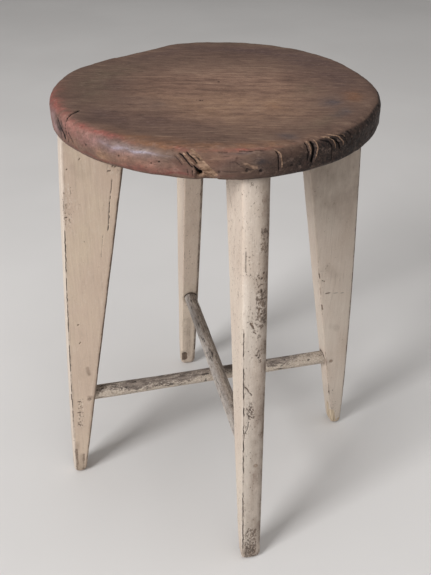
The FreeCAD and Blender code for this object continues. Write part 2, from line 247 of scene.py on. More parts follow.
# Cracks in the rim: width, depth, and the stops of the path.
SEAT_CRACKS = [
    (0.85, 2.4, (-164.0, -8), (-161.9, -1), (-160.6, 5), (-160.2, 12)),
    (0.55, 1.3, (-160.3, 9), (-159.9, 17), (-159.2, 24)),
    (1.6, 3.0, (-167.6, 14.5), (-164.8, 18.5), (-162.4, 23), (-160.6, 29)),
    (0.75, 2.0, (-165.4, 22), (-163.8, 26), (-162.8, 31)),
    (0.70, 2.0, (-163.8, 14), (-161.8, 19), (-160.0, 25.5)),
    (0.60, 1.6, (-158.4, 19), (-157.0, 23), (-155.4, 27)),
    (0.70, 1.8, (-160.2, 20), (-159.0, 25), (-158.4, 30)),
    (0.45, 1.1, (-86.9, 11.5), (-86.1, 15), (-85.6, 20), (-85.4, 29)),
    (0.55, 1.4, (-76.7, 8), (-76.0, 13), (-75.7, 18), (-75.8, 25)),
    (1.15, 3.2, (-74.5, 7.5), (-73.9, 12), (-73.7, 17), (-74.0, 23), (-74.3, 28)),
    (0.45, 1.2, (-71.4, 9), (-69.2, 11), (-67.2, 14.5), (-66.3, 19.5), (-66.2, 31)),
    (0.7, 1.8, (-67.2, 10.5), (-65.0, 13), (-63.5, 17.5), (-62.9, 23)),
    (0.45, 1.0, (-62.2, 11), (-60.6, 14.5), (-59.8, 20)),
    (0.5, 0.6, (-98.7, 18.5), (-96.4, 22.5), (-93.6, 26.2)),
    (0.5, 0.9, (-58.6, 9.5), (-57.4, 14), (-57.0, 20)),
    (0.6, 0.5, (-98.0, 9.0), (-95.0, 10.2), (-92.6, 9.4), (-89.5, 10.4)),
    (0.6, 0.35, (-104.0, 10.0), (-102.0, 10.8), (-100.6, 10.0)),
    (0.55, 1.6, (-115.2, 12.0), (-113.7, 16.0), (-112.1, 20.5), (-111.0, 24.0)),
    (0.50, 1.4, (-113.2, 11.0), (-111.9, 14.5), (-110.6, 18.0), (-109.6, 21.0)),
    (0.45, 0.7, (-116.6, 14.5), (-115.2, 18.5), (-114.0, 22.5)),
    (0.45, 0.7, (-112.7, 25.0), (-112.4, 31.0)),
    (0.45, 0.7, (-111.3, 25.5), (-111.0, 31.0)),
    (0.3, 0.25, (-100.2, 16.5), (-100.0, 25)),
    (0.3, 0.2, (-99.0, 17), (-98.9, 25.5)),
    (0.3, 0.2, (-98.2, 16.5), (-98.1, 23)),
    (0.5, 0.8, (26, 8), (27, 14), (26.5, 24)),
    (0.7, 1.6, (61, 4), (62.5, 10), (62, 20), (63, 29)),
    (0.6, 1.2, (-14, 9), (-13, 16), (-13.5, 27)),
    (0.5, 1.0, (-30, 10), (-28.5, 16), (-28.8, 25)),
    (0.6, 1.2, (158, 5), (157, 12), (157.5, 22)),
]

# Slivers standing beside the cracks, worn pale: width, height, how pale, and the path's stops.
SEAT_SLIVERS = [
    (0.65, 0.5, 0.9, (-87.6, 8.5), (-86.0, 12.5), (-85.1, 16), (-84.7, 21), (-84.6, 29)),
    (0.75, 0.5, 0.85, (-76.3, 6.5), (-75.3, 11), (-75.0, 16), (-75.1, 22)),
    (0.75, 0.5, 0.95, (-73.5, 6.0), (-72.7, 11), (-72.4, 16), (-72.8, 22), (-73.3, 26)),
    (0.65, 0.45, 1.0, (-71.0, 6.0), (-68.4, 8.2), (-66.2, 12), (-65.1, 17), (-64.8, 23)),
    (0.65, 0.45, 1.0, (-68.2, 5.5), (-65.4, 8.0), (-63.2, 12), (-61.8, 17.5), (-61.3, 23)),
    (0.5, 0.35, 0.6, (-65.4, 6.0), (-62.9, 8.5), (-61.0, 12), (-60.0, 17)),
    (0.45, 0.3, 0.45, (-158.9, 20), (-158.0, 24.5), (-157.6, 29)),
    (0.45, 0.3, 0.60, (-165.4, 15), (-162.9, 20), (-160.6, 26.5)),
    (0.45, 0.3, 0.50, (-168.9, 18), (-165.9, 23), (-163.6, 29)),
    (0.65, 0.5, 1.3, (-114.3, 11.8), (-112.9, 15.2), (-111.3, 19.6), (-110.3, 22.8)),
    (0.50, 0.4, 0.8, (-116.0, 13.5), (-114.5, 17.5), (-113.2, 21.5)),
    (0.4, 0.3, 0.25, (-103.6, 8.6), (-98.5, 8.2), (-93.0, 8.0), (-88.5, 8.8)),
    *[(0.55, 0.25, 0.42, (turn, 4.0), (turn + 0.9, 10.0)) for turn in np.arange(-137, -125, 1.6)],
]

# Woodworm holes and dents in the rim and top: direction, distance over the rim, radius, depth.
SEAT_PITS = [
    (-148.5, 22.8, 1.1, 1.4),
    (-149.8, 24.0, 1.3, 0.5),
    (-135.0, 22.9, 1.2, 1.5),
    (-121.5, 21.4, 1.1, 1.8),
    (-123.9, 23.6, 0.9, 1.4),
    (-103.4, 26.6, 1.6, 0.6),
    (-95.4, 25.8, 1.7, 0.9),
    (-91.2, 26.8, 1.8, 1.0),
    (-81.2, 25.5, 1.7, 0.8),
    (-107.0, -9.3, 0.9, 0.8),
    (-156.0, -31.8, 1.2, 0.6),
    (-54.0, 16.0, 1.6, 0.8),
    (-47.0, 22.0, 1.2, 1.0),
    (15.0, 20.0, 1.2, 1.4),
    (38.0, 15.0, 1.1, 1.2),
    (75.0, 22.0, 1.3, 1.5),
    (104.0, 18.0, 1.2, 1.2),
    (131.0, 21.0, 1.3, 1.6),
    (168.0, 24.0, 1.1, 1.2),
]

# Small marks on the flat top, from the seat's middle in millimetres: x, y, radius, depth.
TOP_DENTS = [
    (5.9, 12.7, 1.4, 0.5),
    (-24.6, -37.0, 1.1, 0.7),
    (-22.6, -37.6, 0.9, 0.6),
    (-27.5, -35.5, 0.8, 0.4),
]

COLOURS = {
    "red": (0.270, 0.075, 0.060),
    "maroon": (0.150, 0.040, 0.035),
    "pink": (0.360, 0.175, 0.145),
    "mauve": (0.290, 0.190, 0.195),
    "tan": (0.290, 0.175, 0.105),
    "orange": (0.210, 0.100, 0.052),
    "olive": (0.120, 0.088, 0.060),
    "plum": (0.078, 0.048, 0.046),
    "slate": (0.060, 0.056, 0.066),
    "black": (0.013, 0.011, 0.011),
    # sheen is the colour of a painted highlight.
    "sheen": (0.430, 0.400, 0.500),
}

# Old paint, dirt and wear on the seat, and a painted highlight on the rim, laid one over another:
# direction, distance over the rim, spread in degrees, spread across in millimetres, colour, strength.
SEAT_TINTS = [
    (-85, -80, 60, 46, "tan", 0.30),
    (-140, -90, 50, 30, "tan", 0.18),
    (58, -24, 20, 14, "plum", 0.60),
    (38, -22, 13, 13, "plum", 0.50),
    (22, -24, 10, 14, "plum", 0.40),
    (60, 0, 30, 6, "olive", 0.40),
    (-37, -30, 8, 12, "slate", 0.65),
    (-46, -12, 6, 7, "slate", 0.55),
    (-27, -15, 7, 9, "orange", 0.70),
    (-130, -40, 16, 20, "plum", 0.50),
    (-152, -20, 12, 13, "plum", 0.50),
    (-110, -36, 8, 9, "plum", 0.35),
    (148, -30, 22, 26, "olive", 0.50),
    (176, -30, 15, 20, "olive", 0.50),
    (164, -52, 12, 16, "plum", 0.30),
    (-166, -56, 12, 14, "plum", 0.30),
    (100, -16, 24, 12, "plum", 0.30),
    (-125, 2, 16, 7, "orange", 0.45),
    (-96, 4, 20, 6, "orange", 0.50),
    (-79, -4, 3.6, 8, "slate", 0.55),
    (176, 14, 12, 12, "red", 0.60),
    (-172, 8, 9, 5, "red", 0.80),
    (-173, 22, 9, 8, "mauve", 0.75),
    (-178, 27, 9, 6, "pink", 0.60),
    (-160, 12, 6, 6, "pink", 0.70),
    (-150, 17, 8, 9, "pink", 0.60),
    (-153, 25, 6, 5, "tan", 0.45),
    (-147, 8, 9, 3.2, "red", 0.75),
    (-137, 8.6, 6, 2.6, "red", 0.75),
    (-142, 17, 7, 6, "mauve", 0.60),
    (-131, 17, 8, 5, "mauve", 0.45),
    (-141, 25, 3, 6, "tan", 0.70),
    (-131, 24, 9, 5, "tan", 0.50),
    (-133, 22, 5, 5, "pink", 0.30),
    (-146, 17, 6, 7, "pink", 0.45),
    (-122, 24, 9, 6, "pink", 0.40),
    (-158, 19, 9, 9, "red", 0.20),
    (-125, 29, 10, 3, "red", 0.35),
    (-98, 8.4, 11, 1.6, "red", 0.50),
    (-97, 11.4, 9, 1.4, "slate", 0.45),
    (-100, 22, 3, 4, "slate", 0.35),
    (-91, 19, 3, 6, "slate", 0.35),
    (-115, 22, 3, 5, "maroon", 0.30),
    (-129, 6.5, 6, 3.4, "orange", 0.65),
    (-121, 8, 6, 5, "orange", 0.55),
    (-119, 21, 5, 8, "olive", 0.30),
    (-114, 8, 3, 2.5, "red", 0.60),
    (-102, 17, 6, 8, "pink", 0.22),
    (-165, 20, 2.6, 6, "black", 0.85),
    # A painted highlight: the window's sheen on the rounded front-left rim.
    (-130.5, 15.8, 7.0, 1.1, "sheen", 0.70),
    (-108, 14, 6, 8, "orange", 0.35),
    (-118, 30.8, 14, 1.0, "maroon", 0.60),
    (-148, 30.8, 16, 1.0, "maroon", 0.60),
    (-150, 22, 5, 6, "plum", 0.35),
    (-139, 17, 2.5, 5, "slate", 0.30),
    (-8, -20, 16, 14, "plum", 0.40),
    (2, -40, 26, 22, "plum", 0.35),
    (-62, -70, 12, 9, "orange", 0.35),
    (-150, -70, 14, 12, "slate", 0.25),
    (-20, -60, 12, 10, "olive", 0.35),
    (18, -8, 22, 9, "plum", 0.40),
    (-60, -14, 10, 8, "olive", 0.40),
    (168, 26, 10, 4, "red", 0.40),
    (150, 14, 10, 8, "plum", 0.50),
    (120, 16, 24, 9, "plum", 0.45),
    (84, 14, 14, 8, "mauve", 0.25),
]


def seat_columns():
    """Directions of the seat's mesh columns, closer together where the rim is broken."""
    step = 0.05
    steps = np.arange(-180, 180, step)
    spacing = np.full(len(steps), PLAIN_COLUMNS)
    for direction, half_width in FINE_STRETCHES:
        near = smooth_step(half_width + 4, half_width, np.abs(turn_between(steps, direction)))
        spacing = np.minimum(spacing, PLAIN_COLUMNS + (FINE_COLUMNS - PLAIN_COLUMNS) * near)
    total = np.cumsum(1 / spacing)
    count = int(round(total[-1] * step))
    return np.interp(np.arange(count) / count * total[-1], total, steps)


def seat_rows():
    """Distances over the rim of the seat's mesh rows, from near its middle on top to underneath."""
    top = np.concatenate([np.geomspace(146, 14, 22), np.linspace(12.8, 0, 12)])
    # Rows are closer where the two larger dents are.
    for x, y, _, _ in TOP_DENTS[:2]:
        top = np.append(top, np.arange(-2.8, 3, 0.8) + SEAT_RADIUS - TOP_ROUND - math.hypot(x, y))
    top = -np.sort(top)[::-1]
    rim = np.linspace(0.7, RIM_END, 50)
    below = RIM_END + np.concatenate([[1.2], np.geomspace(3, 154, 11)])
    return np.concatenate([top, rim, below])


def seat_tints(angle, down, wood):
    """The tint over each point of the seat, and how much of the wood it hides."""
    loose_angle = angle + 1.6 * noise(wood, (16, 9, 9), 71)
    loose_down = down + 2.4 * noise(wood, (16, 9, 9), 73)
    patchy = np.clip(1 + 0.8 * noise(wood, (12, 5, 4), 75, 4), 0.25, 1.35)
    colour, cover = np.zeros((len(angle), 3)), np.zeros(len(angle))

    def lay(share, name):
        nonlocal colour, cover
        share = np.clip(share, 0, 1)
        left = cover * (1 - share)
        cover = left + share
        blend = colour * left[:, None] + np.array(COLOURS[name]) * share[:, None]
        colour = blend / np.maximum(cover, 1e-6)[:, None]

    for direction, over, spread, across, name, strength in SEAT_TINTS:
        away = (turn_between(loose_angle, direction) / spread) ** 2 + ((loose_down - over) / across) ** 2
        lay(strength * patchy * np.exp(-away), name)
    # The right-hand rim, on the side away from the window, is blackened up to a clear line below the top's
    # arris: partly real blackening, partly painted shade. It is also darkened low on the rim from the front
    # round to the right.
    facing_right = smooth_step(-87, -66, loose_angle) * smooth_step(48, 8, loose_angle)
    line = smooth_step(7.2, 10.8, down + 1.1 * noise(wood, (18, 12, 12), 77))
    lay(0.97 * facing_right * line, "black")
    lay(0.6 * smooth_step(9, 22, loose_down) * smooth_step(-106, -84, angle) * (angle < -60), "black")
    return colour, cover


def splinter_zone(angle, down):
    """Where the front of the rim is broken out: shares along the bare band, and distance aside."""
    across = np.radians(turn_between(angle, -108.0)) * SEAT_RADIUS
    band_start, band_end = np.array([-11.5, 8.5]), np.array([8.0, 31.0])
    run = band_end - band_start
    length = np.linalg.norm(run)
    direction = run / length
    offset = np.stack([across - band_start[0], down - band_start[1]], -1)
    return offset @ direction / length, offset @ np.array([direction[1], -direction[0]])


def seat_rings(angle, down):
    rings = rim_point(angle, down)
    # Rows far inside are a share of the way to the middle, so that they don't cross it.
    inner = (down < -KEPT_OUTLINE) | (down > RIM_END + KEPT_OUTLINE)
    top_reach = 1 - (-down - KEPT_OUTLINE) / SHRINK_ON_TOP
    reach = np.where(down < 0, top_reach, 1 - (down - RIM_END - KEPT_OUTLINE) / SHRINK_BELOW)
    edge = rim_point(angle, np.where(down < 0, -KEPT_OUTLINE, RIM_END + KEPT_OUTLINE))
    rings[inner] = edge[inner] * np.stack([reach, reach, np.ones_like(reach)], -1)[inner]
    return rings


def seat_wear(points, wood, angle, down):
    """How far the seat's skin stands out from the turned shape, after long wear."""
    on_top = smooth_step(6, -6, down)
    on_rim = smooth_step(-14, 2, down) * smooth_step(RIM_END + 8, RIM_END, down)
    # A shallow dish where people sat, and waves and lumps all over the rim.
    radius = np.hypot(points[:, 0], points[:, 1])
    push = -1.1 * np.exp(-((radius / 100) ** 2)) * on_top
    push += on_top * 0.35 * noise(wood, (110, 26, 30), 3)
    push += on_rim * (0.55 * noise(wood, (26, 20, 14), 5) + 0.15 * noise(wood, (9, 5, 3.5), 9))
    push += on_rim * 0.05 * noise(wood, (3.5, 2.2, 1.4), 11, 2)
    # Ends of the grain stand open on the left and right of the rim.
    end_grain = np.abs(np.cos(np.radians(angle - GRAIN_ANGLE)))
    push -= on_rim * end_grain * 0.35 * smooth_step(0.25, 0.8, noise(wood, (60, 9, 2.2), 21, 3))
    return push, on_rim


def cut_seat(points, down, push):
    """Cuts cracks, slivers, holes and dents into push. Gives how dark and how bare the wood is."""
    dark, bare = np.zeros(len(points)), np.zeros(len(points))
    wavy = points + noise(points, 4.0, 31, 2)[:, None] * 0.35

    def along(stops):
        path = rim_path(*stops)
        near = np.linalg.norm(points - path.mean(0), axis=1) < 40
        return (near, *distance_to_path(wavy[near], path))

    for width, depth, *stops in SEAT_CRACKS:
        near, away, share = along(stops)
        ends = smooth_step(-0.02, 0.10, share) * smooth_step(1.02, 0.86, share)
        cut = np.exp(-((away / width) ** 2)) * (0.2 + 0.8 * ends)
        push[near] -= depth * cut
        blackness = min(0.25 + depth / 2.0, 1.0)
        dark[near] = np.maximum(dark[near], blackness * smooth_step(0.12, 0.55, cut))
    for width, height, pale, *stops in SEAT_SLIVERS:
        near, away, share = along(stops)
        ends = smooth_step(-0.02, 0.15, share) * smooth_step(1.02, 0.75, share)
        sliver = np.exp(-((away / width) ** 2)) * ends
        push[near] += height * sliver
        bare[near] = np.maximum(bare[near], pale * sliver)
        dark[near] *= 1 - 0.9 * sliver
    for pit_angle, pit_down, size, depth in SEAT_PITS:
        away = np.linalg.norm(points - rim_point(pit_angle, pit_down), axis=1)
        hole = np.exp(-((away / size) ** 2))
        push -= depth * hole
        dark = np.maximum(dark, min(0.30 + 0.25 * depth, 1.0) * smooth_step(0.15, 0.7, hole))
    for x, y, size, depth in TOP_DENTS:
        away = np.hypot(points[:, 0] - x, points[:, 1] - y) + 40 * (down > 0)
        hole = np.exp(-((away / size) ** 2))
        push -= depth * hole
        dark = np.maximum(dark, 0.8 * smooth_step(0.15, 0.7, hole))
    return dark, bare


def break_seat(points, angle, down, push, dark, bare):
    """Breaks the front of the rim: a bare splintered band, a hollow, a notch and a gouge."""
    band_share, band_aside = splinter_zone(angle, down)
    torn = np.stack([band_share * 30, band_aside, np.zeros_like(band_aside)], -1)
    ragged = noise(torn, (7, 1.5, 1), 41, 3)
    fibres = noise(torn, (12, 0.8, 1), 43, 3)
    half_width = 2.5 + 1.9 * band_share + 0.9 * ragged
    band = smooth_step(-0.06, 0.05, band_share) * smooth_step(1.12, 1.0, band_share)
    band = band * smooth_step(half_width + 0.6, half_width - 0.4, np.abs(band_aside))
    push -= band * (0.3 + 1.8 * band_share + 0.8 * fibres)
    bare = np.maximum(bare, band * (0.75 + 0.5 * fibres))
    split = smooth_step(0.0, 0.35, band_share) * smooth_step(-0.25, -0.7, fibres)
    dark = np.maximum(dark, 0.6 * band * split)
    # A dark hollow at the foot of the band's left side, and a notch in the bottom edge beside it.
    away, share = distance_to_path(points, rim_path((-111.4, 20.5), (-110.0, 24.5), (-109.0, 29)))
    hollow = smooth_step(0.9 + 2.0 * share, 0.2, away + 0.7 * ragged)
    push -= hollow * (0.6 + 3.9 * share)
    dark = np.maximum(dark, hollow * smooth_step(-0.1, 0.4, share))
    bare = bare * (1 - 0.9 * hollow)
    away, _ = distance_to_path(points, rim_path((-108.8, 30), (-107.0, 33.5), (-105.2, 36)))
    notch = smooth_step(5.4, 1.4, away + 0.8 * ragged)
    push -= 3.4 * notch
    bare = np.maximum(bare, 0.7 * notch)
    # A gouge further right, with its floor worn light at the right end.
    away, share = distance_to_path(points, rim_path((-97.9, 16.5), (-95.4, 20.5), (-92.6, 24.0)))
    gouge = smooth_step(2.8, 0.9, away + 0.6 * ragged)
    push -= 0.9 * gouge
    bare = np.maximum(bare, 0.50 * gouge * smooth_step(-0.05, 0.5, share))
    return dark, bare


def make_seat():
    grid_angle, grid_down = np.meshgrid(seat_columns(), seat_rows())
    rings = seat_rings(grid_angle, grid_down)
    normals = ring_normals(rings)
    normals *= np.sign((normals * (rings - [0, 0, (SEAT_TOP + SEAT_UNDERSIDE) / 2])).sum(2))[..., None]

    points = rings.reshape(-1, 3)
    angle, down = grid_angle.ravel(), grid_down.ravel()
    turn = math.radians(GRAIN_ANGLE)
    along = points[:, 0] * math.cos(turn) + points[:, 1] * math.sin(turn)
    across = -points[:, 0] * math.sin(turn) + points[:, 1] * math.cos(turn)
    wood = np.stack([along, across, points[:, 2] - SEAT_UNDERSIDE], -1)

    push, on_rim = seat_wear(points, wood, angle, down)
    dark, bare = cut_seat(points, down, push)
    dark, bare = break_seat(points, angle, down, push, dark, bare)
    tint, tinted = seat_tints(angle, down, wood)
    gloss = np.exp(-((turn_between(angle, -130) / 11) ** 2) - ((down - 16.0) / 3.6) ** 2)
    gloss = np.maximum(gloss, 0.15 * np.exp(-((turn_between(angle, -168) / 12) ** 2)) * on_rim)

    rings = (points + normals.reshape(-1, 3) * push[:, None]).reshape(rings.shape)
    # The underside stays flat where the legs bear on it.
    rings[grid_down > RIM_END, 2] = SEAT_UNDERSIDE
    shape = rings.shape[:2]
    values = {"dark": dark, "bare": bare, "tinted": tinted, "gloss": gloss, "tint": tint}
    values = {key: array.reshape(*shape, -1)[::-1] for key, array in values.items()}
    rings = rings[::-1] + MIDDLE
    made = skin("seat", rings, rings[0].mean(0), rings[-1].mean(0), values, wood.reshape(*shape, 3)[::-1])
    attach(made, "root")
    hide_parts("seat_board")
    return made


# ---------------------------------------------------------------- legs

SHOULDER = SEAT_UNDERSIDE


def leg_turn(leg):
    angle = math.radians(LEG_ANGLES[leg])
    return np.array([
        [math.cos(angle), -math.sin(angle), 0],
        [math.sin(angle), math.cos(angle), 0],
        [0, 0, 1],
    ])


def inner_edge(leg, level):
    foot = FOOT_OUTER[leg] - LEG_FOOT_DEPTH
    return foot + (LEG_TOP_INNER - foot) * level / SHOULDER


def outer_edge(leg, level):
    share = level / SHOULDER
    straight = FOOT_OUTER[leg] + (LEG_TOP_OUTER - FOOT_OUTER[leg]) * share
    return straight + 4 * LEG_BOW * share * (1 - share)


def half_thickness(level):
    return (LEG_FOOT_THICKNESS + (LEG_TOP_THICKNESS - LEG_FOOT_THICKNESS) * level / SHOULDER) / 2


# Corner rounding as (height, radius) stops for the outer corner on the +y side, inner +y, inner -y
# and outer -y.
OUTER_CORNER = [(0, 5.0), (50, 2.6), (200, 2.0), (442, 3.2)]
INNER_CORNER = [(0, 4.6), (50, 2.0), (442, 1.7)]
CORNERS = {leg: [OUTER_CORNER, INNER_CORNER, INNER_CORNER, OUTER_CORNER] for leg in LEG_ANGLES}
CORNERS["front"][0] = [(0, 8.5), (200, 10.0), (442, 12.2)]
CORNERS["front"][3] = [(0, 5.0), (40, 1.6), (270, 1.6), (318, 8.0), (442, 12.0)]
CORNERS["left"][1] = [(0, 4.6), (50, 2.6), (442, 2.6)]
CORNERS["back"][2] = [(0, 5.5), (442, 4.5)]

# How deep the rounding of a leg's outer corners is, as a share of its width across the board.
CORNER_DEPTH = {"left": 1.0, "right": 1.0, "back": 1.0, "front": 0.45}

# How far each leg's paint has yellowed and how speckled it is all over, 0 to 1.
YELLOWED = {"left": 0.95, "back": 0.6, "front": 0.35, "right": 0.2}
SPECKLED = {"left": 0.05, "back": 0.30, "front": 0.42, "right": 0.12}

# Marks on each leg, in rows that end with the surface they lie on and their stops. The rows start
# with width and depth for cracks, with radius for chips, and with radius and strength for the rest.
LEFT_MARKS = {
    "cracks": [
        (0.55, 0.5, "cheek", (391, 10), (376, 10.4), (361, 9.4), (345, 9), (329, 8.2)),
        (0.50, 0.2, "cheek", (436, 8), (422, 9), (408, 8)),
        (0.50, 0.15, "cheek", (330, 13.4), (300, 12.2)),
        (0.50, 0.4, "arris", (372, 1.6), (366, 1.6), (358, 1.6)),
        (0.62, 0.9, "arris", (345, 1.7), (290, 1.7), (262, 1.7), (240, 1.7), (205, 1.7)),
        (0.60, 0.8, "arris", (207, 1.7), (170, 1.7), (150, 1.7), (126, 1.7)),
        (0.50, 0.6, "arris", (124, 1.8), (100, 1.8), (70, 1.8), (46, 1.8)),
    ],
    "chips": [
        (0.7, "cheek", (352, 52), (352, 53)),
        (0.6, "cheek", (413, 44), (412.6, 44.3)),
        (0.55, "cheek", (404, 56), (403.6, 56.3)),
        (0.55, "cheek", (402, 11), (401, 8)),
        (0.5, "cheek", (398, 16), (397, 13)),
        (0.55, "cheek", (222, 29), (221, 29.5)),
        (0.55, "cheek", (198, 25), (197, 25.5)),
        (0.45, "cheek", (114, 20), (113.6, 17)),
        (0.45, "cheek", (98, 19), (97.4, 15.5)),
        (0.6, "cheek", (80, 16.5), (77.5, 13.5)),
        (0.7, "arris", (126, 0.6), (119, 0.6)),
    ],
    "speckled": [
        (5.0, 0.5, "cheek", (403, 14), (398, 8)),
        (6.0, 0.6, "arris", (385, 4), (345, 4)),
        (4.0, 0.3, "cheek", (370, 44), (362, 40)),
        (4.0, 0.8, "cheek", (114, 17), (78, 14)),
    ],
    "stains_and_shade": [
        (2.2, 0.75, "cheek", (160, 13.5), (151, 10.8)),
        (1.5, 0.6, "cheek", (118, 8.6), (118, 5.2)),
        (7.0, 0.20, "cheek", (404, 46), (398, 40)),
        (5.0, 0.45, "cheek", (28, 10), (2, 8)),
        (3.0, 0.5, "cheek", (50, 16), (24, 14)),
        (2.6, 0.60, "cheek", (441, 0.6), (250, 0.6), (60, 0.6)),
        (1.3, 0.45, "arris", (430, 1.8), (250, 1.8), (60, 1.8)),
    ],
    "worn": [
        (1.7, 0.85, "cheek", (441, 0.0), (330, 0.0), (250, 0.0)),
        (1.6, 0.95, "cheek", (250, 0.0), (150, 0.0)),
        (1.0, 0.75, "cheek", (150, 0.0), (20, 0.0)),
        (2.2, 0.75, "cheek", (40, 16), (20, 13), (3, 12)),
        (1.8, 0.70, "cheek", (30, 6), (4, 4)),
    ],
}

RIGHT_MARKS = {
    "cracks": [
        (0.50, 0.25, "cheek", (214, 8), (212.6, 20), (210.4, 34)),
        (0.50, 0.08, "cheek", (186, 14), (180, 24)),
        (0.50, 0.05, "cheek", (405, 44), (380, 44)),
    ],
    "chips": [
        (0.55, "cheek", (214, 7), (213.6, 11)),
        (0.6, "cheek", (242, 0.5), (236, 0.8)),
        (0.8, "cheek", (197, 0.5), (191, 1.0)),
        (0.5, "cheek", (232, 4), (231.5, 7)),
        (0.5, "inner", (236, -8), (228, -9)),
    ],
    "speckled": [
        (5.0, 0.35, "cheek", (250, 8), (200, 8)),
        (4.0, 0.5, "cheek", (60, 6), (20, 6)),
    ],
    "stains_and_shade": [
        # Painted shade: the seat's shadow over the top of the cheek.
        (44.0, 0.52, "cheek", (440, 34), (354, 36)),
        (5.0, 0.22, "cheek", (250, 12), (238, 20)),
        (4.0, 0.20, "cheek", (165, 10), (160, 18)),
        (3.0, 0.40, "inner", (30, -6), (14, 0)),
        (1.4, 0.50, "arris", (441, 0.4), (240, 0.4), (40, 0.4)),
        (1.0, 0.35, "cheek", (441, 0.4), (240, 0.4), (40, 0.4)),
    ],
    "worn": [
        (0.9, 0.7, "arris", (441, 0.4), (240, 0.4), (60, 0.4)),
        (0.8, 0.5, "cheek", (260, 0.3), (180, 0.3)),
        (0.9, 0.5, "cheek", (130, 0.3), (30, 0.3)),
    ],
    "bare": [
        (4.6, 1.0, "cheek", (22, 1), (4, 3)),
        (3.6, 1.0, "inner", (34, -4), (6, 0)),
        (2.6, 1.0, "cheek", (8, 11.5), (3, 11)),
    ],
}

FRONT_MARKS = {
    "cracks": [
        (0.60, 0.7, "cheek", (430, 6), (414, 9), (402, 17), (391, 25)),
        (0.50, 0.2, "cheek", (389, 20), (384, 24)),
        (0.50, 0.2, "cheek", (360, 24), (350, 26)),
        (0.45, 0.3, "outer", (377, -9.6), (360, -9.8), (345, -10.4), (327, -11.2)),
        (0.60, 0.7, "outer", (298, -11.4), (270, -10.9), (244, -10.8), (215, -10.6)),
        (0.65, 1.0, "outer", (219, -10.6), (190, -10.3), (168, -10.2), (150, -10.2)),
        (0.60, 0.8, "outer", (154, -10.2), (120, -10.0), (88, -10.1), (60, -9.8)),
        (0.60, 0.8, "outer", (64, -9.8), (30, -9.4), (12, -8.8)),
        (0.50, 0.5, "outer", (192, -5.0), (184, -6.4), (176, -9.0), (166, -9.8)),
        (0.45, 0.1, "outer", (104, -9), (101, -4)),
        (0.50, 0.3, "inner", (300, 2), (240, 1)),
        *[(0.5, 0.2, "outer", (31 - 2 * abs(y), y), (8, 0.9 * y)) for y in (-6.5, -3.4, -0.6, 2.6, 5.6)],
    ],
    "chips": [
        (0.8, "outer", (302, -5.0), (296.5, -1.6)),
        (0.5, "outer", (293, -2.0), (291, 0.5)),
        (0.7, "outer", (268, 0.8), (265.6, 3.2)),
        (0.45, "outer", (264, 3.4), (262, 5.0)),
        (0.6, "outer", (352, 7.2), (346, 5.4)),
        (0.5, "outer", (340, 3.2), (334, 4.2)),
        (0.5, "outer", (326, 4.6), (322, 3.2)),
        (0.6, "outer", (316, 3.0), (310, 5.6)),
        (0.6, "outer", (232, -9.2), (223, -3.0)),
        (0.40, "outer", (208, -7.5), (203, -4.6)),
        (0.40, "outer", (206, -4.4), (201, -1.6)),
        (0.40, "outer", (202, -8.0), (198, -5.0)),
        (0.40, "outer", (199, -5.2), (196, -2.6)),
    ],
    "speckled": [
        (5.5, 0.95, "outer", (392, 7.5), (374, 7)),
        (5.5, 0.80, "outer", (352, 3), (344, 5)),
        (6.5, 1.15, "outer", (332, 5.5), (300, 5)),
        (3.5, 0.80, "outer", (300, -3), (288, 3)),
        (4.0, 0.95, "outer", (272, 3), (262, 5)),
        (4.5, 1.05, "outer", (210, -5), (196, -3)),
        (3.0, 0.7, "outer", (190, -7), (168, -8)),
        (6.0, 0.5, "outer", (120, 0), (70, 0)),
        (8.5, 1.20, "outer", (40, -1), (3, 0)),
        (5.0, 0.4, "cheek", (362, 10), (350, 20)),
    ],
    "stains_and_shade": [
        (7.0, 0.40, "outer", (345, 6), (300, 6)),
        # Partly dirt, partly painted shade down the right corner, on the side away from the window.
        (8.5, 0.98, "outer", (440, 15), (280, 15), (150, 13), (30, 12)),
        (9.0, 0.80, "outer", (300, 11), (130, 6), (30, 3)),
        (0.8, 0.80, "outer", (296, -11.4), (215, -10.6), (150, -10.2), (60, -9.8), (14, -9.0)),
        (5.0, 0.35, "outer", (206, -4), (196, -2)),
        (1.5, 0.50, "outer", (131, 3.4), (131, 3.6)),
        (8.0, 0.30, "outer", (110, 1), (50, 0)),
        (9.0, 0.85, "outer", (24, -1), (2, 1)),
    ],
    "worn": [
        (3.6, 0.35, "outer", (440, 11.5), (250, 11.5), (20, 9.5)),
        (1.3, 0.55, "outer", (420, 13), (240, 12.5), (20, 10.5)),
    ],
}

BACK_MARKS = {
    "cracks": [
        (0.45, 0.10, "inner", (94, 3.5), (60, 3.0), (24, 1.5)),
        (0.45, 0.05, "inner", (84, 6.4), (60, 6.0)),
        (0.45, 0.08, "inner", (80, 0.4), (36, -1.6)),
        (0.45, 0.15, "inner", (212, 9.4), (200, 9.4)),
    ],
    "chips": [
        (4.1, "inner", (22, 6.2), (14, 5.8)),
        (0.6, "inner", (384, 2), (382, -4)),
        (0.5, "inner", (352, 2), (351, -3)),
    ],
    "speckled": [
        (5.0, 0.5, "inner", (385, 3), (380, -4)),
        (5.0, 0.45, "inner", (210, 4), (180, 2)),
        (6.0, 0.45, "inner", (90, 4), (30, 2)),
    ],
    "stains_and_shade": [
        (3.5, 0.45, "inner", (90, 2), (20, 0)),
        (5.0, 0.25, "inner", (356, 2), (340, -2)),
        (5.0, 0.20, "inner", (270, 2), (250, -2)),
        (5.2, 0.5, "inner", (24, 6.6), (14, 6.0)),
        (3.0, 0.8, "inner", (20, -8.5), (6, -8.0)),
    ],
    "worn": [
        (3.0, 0.70, "inner", (440, -12.0), (140, -11.4), (30, -10.4)),
        (1.0, 0.3, "cheek", (430, 0.3), (40, 0.3)),
    ],
}

